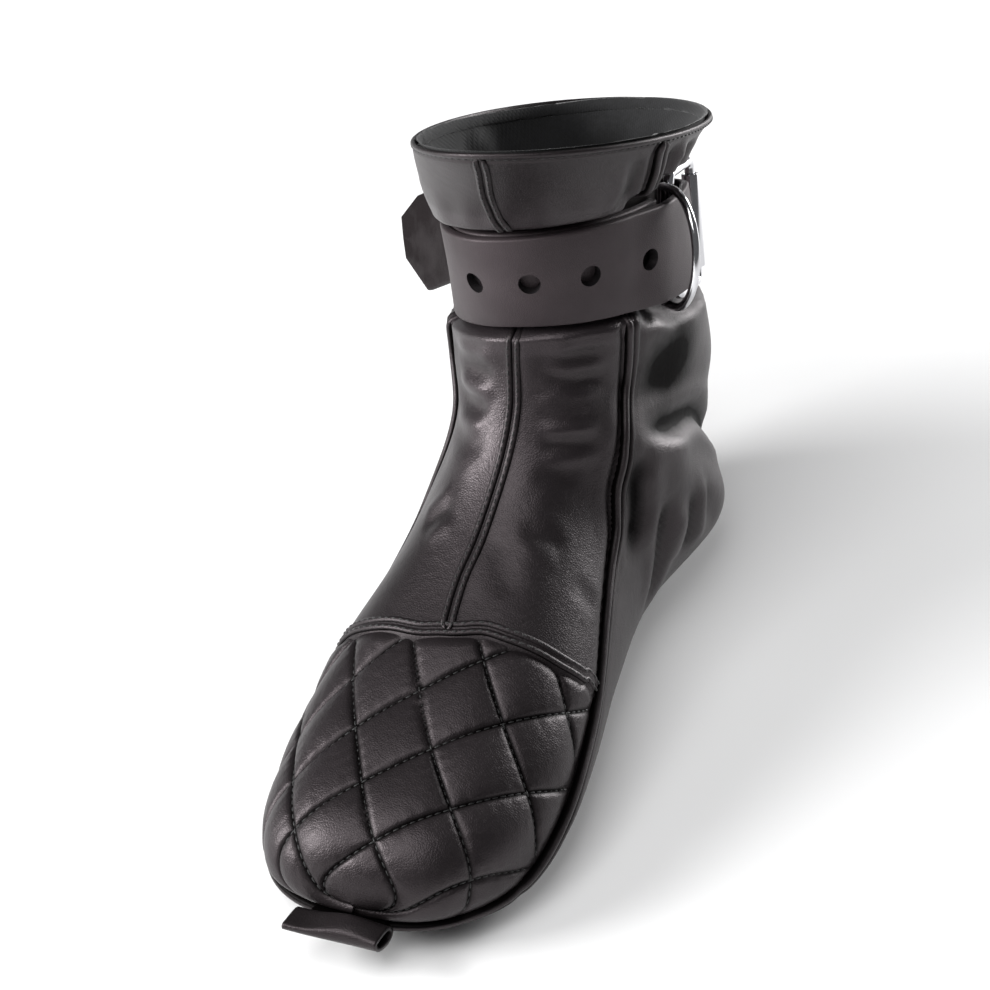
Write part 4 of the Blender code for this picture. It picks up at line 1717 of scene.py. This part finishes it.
@dataclass
class PullLoop:
    """Leather strip folded into a soft flat tube across the toe, held by a tab under the cap."""

    length: float = 33.5
    depth: float = 12.0
    height: float = 7.4
    wall: float = 1.4
    centre: tuple[float, float, float] = (-3.0, -215.2, 18.0)
    tilt: float = -12.0
    around: int = 64
    along: int = 48
    sag: float = 0.9
    sag_wave: tuple[float, float] = (2.3, 0.4)
    sag_ripple: tuple[float, float] = (0.5, 3.0)
    squash: float = 0.3
    flatten: float = 0.8
    bulge: tuple[float, float, float] = (0.06, 5.0, 1.0)
    skew: float = 0.12
    sag_painted_shade: float = -0.12
    rear_painted_shade: float = -0.2
    tab_size: tuple[float, float, float] = (27.0, 12.0, 2.6)
    tab_centre: tuple[float, float, float] = (-3.0, -206.8, 14.6)
    tab_tilt: float = -20.0
    tab_round: float = 0.8
    shadow: float = -0.45

    def tube(self, u: Array, v: Array) -> tuple[Array, Array]:
        """Points and marks of the tube.

        Args:
            u: Shares round the tube.
            v: Shares along it, from the lateral end.

        Returns:
            Points in metres, and fold marks.
        """
        turn, x = 2.0 * np.pi * u, (v - 0.5) * self.length
        flat = np.sign(np.cos(turn)) * np.abs(np.cos(turn)) ** self.flatten
        upper = np.maximum(np.sin(turn), 0.0)
        waves, phase = self.sag_wave
        share, ripples = self.sag_ripple
        soft = upper * self.sag * (np.sin(waves * np.pi * v + phase) + share * np.cos(ripples * turn))
        swell, rate, start = self.bulge
        y = self.depth / 2.0 * flat * (1.0 + swell * np.sin(rate * v + start))
        z = self.height / 2.0 * np.sin(turn) * (1.0 - self.squash * (1.0 - v) ** 2) - soft
        lean = math.radians(self.tilt)
        ahead, rise = y * math.cos(lean) - z * math.sin(lean), y * math.sin(lean) + z * math.cos(lean)
        points = np.stack([x + self.skew * y, ahead, rise], axis=-1)
        # Painted shade darkens the sagging dips of the top, which is lighter where it bulges, and the rear
        # half of the tube
        marks = self.sag_painted_shade * soft + self.rear_painted_shade * np.maximum(flat, 0.0)
        return LAST.metres(points + np.array(self.centre)), marks

    def add_tab(self, bm: bmesh.types.BMesh) -> None:
        """Add the tab that runs from the tube under the toe.

        Args:
            bm: Mesh that takes the tab.
        """
        turn = Matrix.Rotation(math.radians(self.tab_tilt), 4, "X")
        size = Matrix.Diagonal((*(side * MM for side in self.tab_size), 1.0))
        place = Matrix.Translation(LAST.metres(np.array(self.tab_centre)))
        made = bmesh.ops.create_cube(bm, size=1.0, matrix=place @ turn @ size)
        layer = bm.verts.layers.float["fold"]
        for vert in made["verts"]:
            # The tab's leather is darkened with painted shadow
            vert[layer] = self.shadow
        sides = list({item for vert in made["verts"] for item in vert.link_edges})
        bmesh.ops.bevel(
            bm,
            geom=sides,
            offset=self.tab_round * MM,
            affect="EDGES",
            segments=3,
            profile=0.5,
            material=-1,
        )

    def build(self, leather: bpy.types.Material, edge: bpy.types.Material) -> bpy.types.Object:
        """Make the loop and its tab.

        Args:
            leather: Finish of the strip.
            edge: Finish of its cut ends.

        Returns:
            The finished loop.
        """
        bm = warped_grid(self.around, self.along, self.tube)
        bmesh.ops.recalc_face_normals(bm, faces=bm.faces)
        piece = make_piece("pull_loop", bm, leather, edge)
        add_wall(piece, self.wall, rim=1)
        settle(piece, stands_for="toe_loop")
        bm = bmesh.new()
        bm.verts.layers.float.new("fold")
        self.add_tab(bm)
        settle(make_piece("loop_tab", bm, leather))
        return piece


@dataclass
class Studio:
    """Pale floor, soft lights and the camera at the photograph's angle."""

    target: tuple[float, float, float] = (0.0, -57.6, 96.0)
    azimuth: float = 24.078
    elevation: float = 36.332
    roll: float = -4.6
    distance: float = 1290.9
    lens: float = 134.6
    shift: tuple[float, float] = (-0.0094, -0.0282)
    sensor: float = 36.0
    floor_size: float = 6.0
    paper: str = "#f4f4f4"
    paper_tooth: float = 3.0
    air: str = "#f6f7fa"
    air_power: float = 0.12
    aim: tuple[float, float, float] = (0.0, -0.08, 0.09)
    lights: tuple[tuple[str, tuple[float, float, float], float, float], ...] = (
        ("key_left", (-1.2, -0.8, 0.75), 0.7, 36.0),
        ("side_right", (0.6, 1.1, 0.34), 0.5, 16.0),
        ("overhead", (-0.1, -0.8, 1.4), 1.1, 15.0),
    )

    def build_camera(self) -> None:
        """Place the camera."""
        turn, rise, roll = (math.radians(part) for part in (self.azimuth, self.elevation, self.roll))
        forward = Vector((-math.sin(turn) * math.cos(rise), math.cos(turn) * math.cos(rise), -math.sin(rise)))
        right = Vector((math.cos(turn), math.sin(turn), 0.0))
        upward = right.cross(forward)
        rolled = right * math.cos(roll) + upward * math.sin(roll)
        above = rolled.cross(forward)
        sight = Matrix((rolled, above, -forward)).transposed().to_4x4()
        place = Vector(LAST.metres(np.array(self.target))) - forward * self.distance * MM
        data = bpy.data.cameras.new("camera")
        data.lens = self.lens
        data.sensor_width = self.sensor
        data.shift_x, data.shift_y = self.shift
        data.clip_start = 0.01
        camera = bpy.data.objects.new("camera", data)
        camera.matrix_world = Matrix.Translation(place) @ sight
        bpy.context.scene.collection.objects.link(camera)
        bpy.context.scene.camera = camera

    def build_light(self, name: str, place: tuple[float, float, float], size: float, power: float) -> None:
        """Add a large soft light aimed at the boot.

        Args:
            name: Name of the light.
            place: Its place in metres.
            size: Side of its square in metres.
            power: Its power in watts.
        """
        data = bpy.data.lights.new(name, "AREA")
        data.size = size
        data.energy = power
        light = bpy.data.objects.new(name, data)
        aim = Vector(self.aim) - Vector(place)
        light.matrix_world = Matrix.Translation(place) @ aim.to_track_quat("-Z", "Y").to_matrix().to_4x4()
        bpy.context.scene.collection.objects.link(light)

    def build(self) -> None:
        """Make the floor, the lights and the camera."""
        skin, tree, shader = blank("studio_paper")
        place = add(tree, "ShaderNodeTexCoord", {}).outputs["Object"]
        inputs = {"Vector": place, "Scale": per_metre(self.paper_tooth), "Detail": 3.0}
        tooth = add(tree, "ShaderNodeTexNoise", inputs).outputs["Fac"]
        bump = add(tree, "ShaderNodeBump", {"Height": tooth, "Strength": 0.05, "Distance": 0.1 * MM})
        tree.links.new(bump.outputs["Normal"], shader.inputs["Normal"])
        shader.inputs["Base Color"].default_value = linear(self.paper)
        shader.inputs["Roughness"].default_value = 0.8
        bm = bmesh.new()
        bmesh.ops.create_grid(bm, x_segments=8, y_segments=8, size=self.floor_size / 2.0)
        make_piece("studio_floor", bm, skin)
        world = bpy.data.worlds.new("studio_air")
        world.use_nodes = True
        air = world.node_tree.nodes["Background"]
        air.inputs["Color"].default_value = linear(self.air)
        air.inputs["Strength"].default_value = self.air_power
        bpy.context.scene.world = world
        bpy.context.scene.view_settings.view_transform = "Standard"
        for light in self.lights:
            self.build_light(*light)
        self.build_camera()


def main() -> None:
    """Build every piece in order and report it."""
    logging.basicConfig(level=logging.INFO, format="%(name)s: %(message)s")
    # Aniline-dyed nappa: soft black leather whose fine grain breaks a satin sheen
    nappa = LeatherFinish(
        name="black_nappa", deep="#060505", shade="#151213", worn_and_lit="#262224",
        rough_low=0.34, rough_high=0.5, grain=0.9, grain_depth=0.06,
        wrinkle=5.5, wrinkle_depth=0.3, coat=0.03, coat_rough=0.3,
    ).make()
    # Vegetable-tanned belt leather: dense, smoother and more matt than the shell
    belt = LeatherFinish(
        name="belt_leather", deep="#1a1617", shade="#302a2c", worn_and_lit="#453e40",
        rough_low=0.46, rough_high=0.6, grain=0.8, grain_depth=0.05,
        wrinkle=7.0, wrinkle_depth=0.12, coat=0.0, coat_rough=0.4,
    ).make()
    # Burnished cut edge: waxed fibres, darker and slightly glossy
    edge = LeatherFinish(
        name="burnished_edge", deep="#0c0b0c", shade="#151415", worn_and_lit="#232122",
        rough_low=0.35, rough_high=0.5, grain=0.6, grain_depth=0.05,
        wrinkle=2.0, wrinkle_depth=0.1, coat=0.1, coat_rough=0.3,
    ).make()
    # Roughed sole leather: matt, with an open nap
    tread = LeatherFinish(
        name="roughed_sole", deep="#0d0c0d", shade="#171617", worn_and_lit="#252324",
        rough_low=0.7, rough_high=0.85, grain=0.7, grain_depth=0.2,
        wrinkle=2.5, wrinkle_depth=0.3, coat=0.0, coat_rough=0.5,
    ).make()
    # Brushed cotton lining: matt black cloth that swallows light
    lining = ClothFinish(
        name="brushed_lining", low="#0b0b0c", high="#1a1a1c", thread=0.9, depth=0.15, rough=0.92
    ).make()
    # Waxed nylon thread: tight black yarn with a dull shine
    thread = ClothFinish(
        name="waxed_thread", low="#060606", high="#121213", thread=0.5, depth=0.08, rough=0.6
    ).make()
    # Chrome plate over steel: near mirror with a light polishing haze
    steel = PlatedFinish(
        name="chrome_plate", shade="#d9d9dc", rough_low=0.06, rough_high=0.2, haze=6.0
    ).make()
    Studio().build()
    cap, strap = ToeCap(), AnkleStrap()
    upper = Upper(cap)
    upper.build(nappa, lining)
    cap.build(nappa)
    Seams().build(upper, nappa, thread)
    Sole().build(nappa, tread)
    PullLoop().build(nappa, edge)
    strap.build(belt, edge)
    fittings = Hardware(strap)
    fittings.build_keeper(belt)
    fittings.build_ring(steel)
    fittings.build_buckle(steel)
    Footbed().build(lining)


if __name__ == "__main__":
    main()
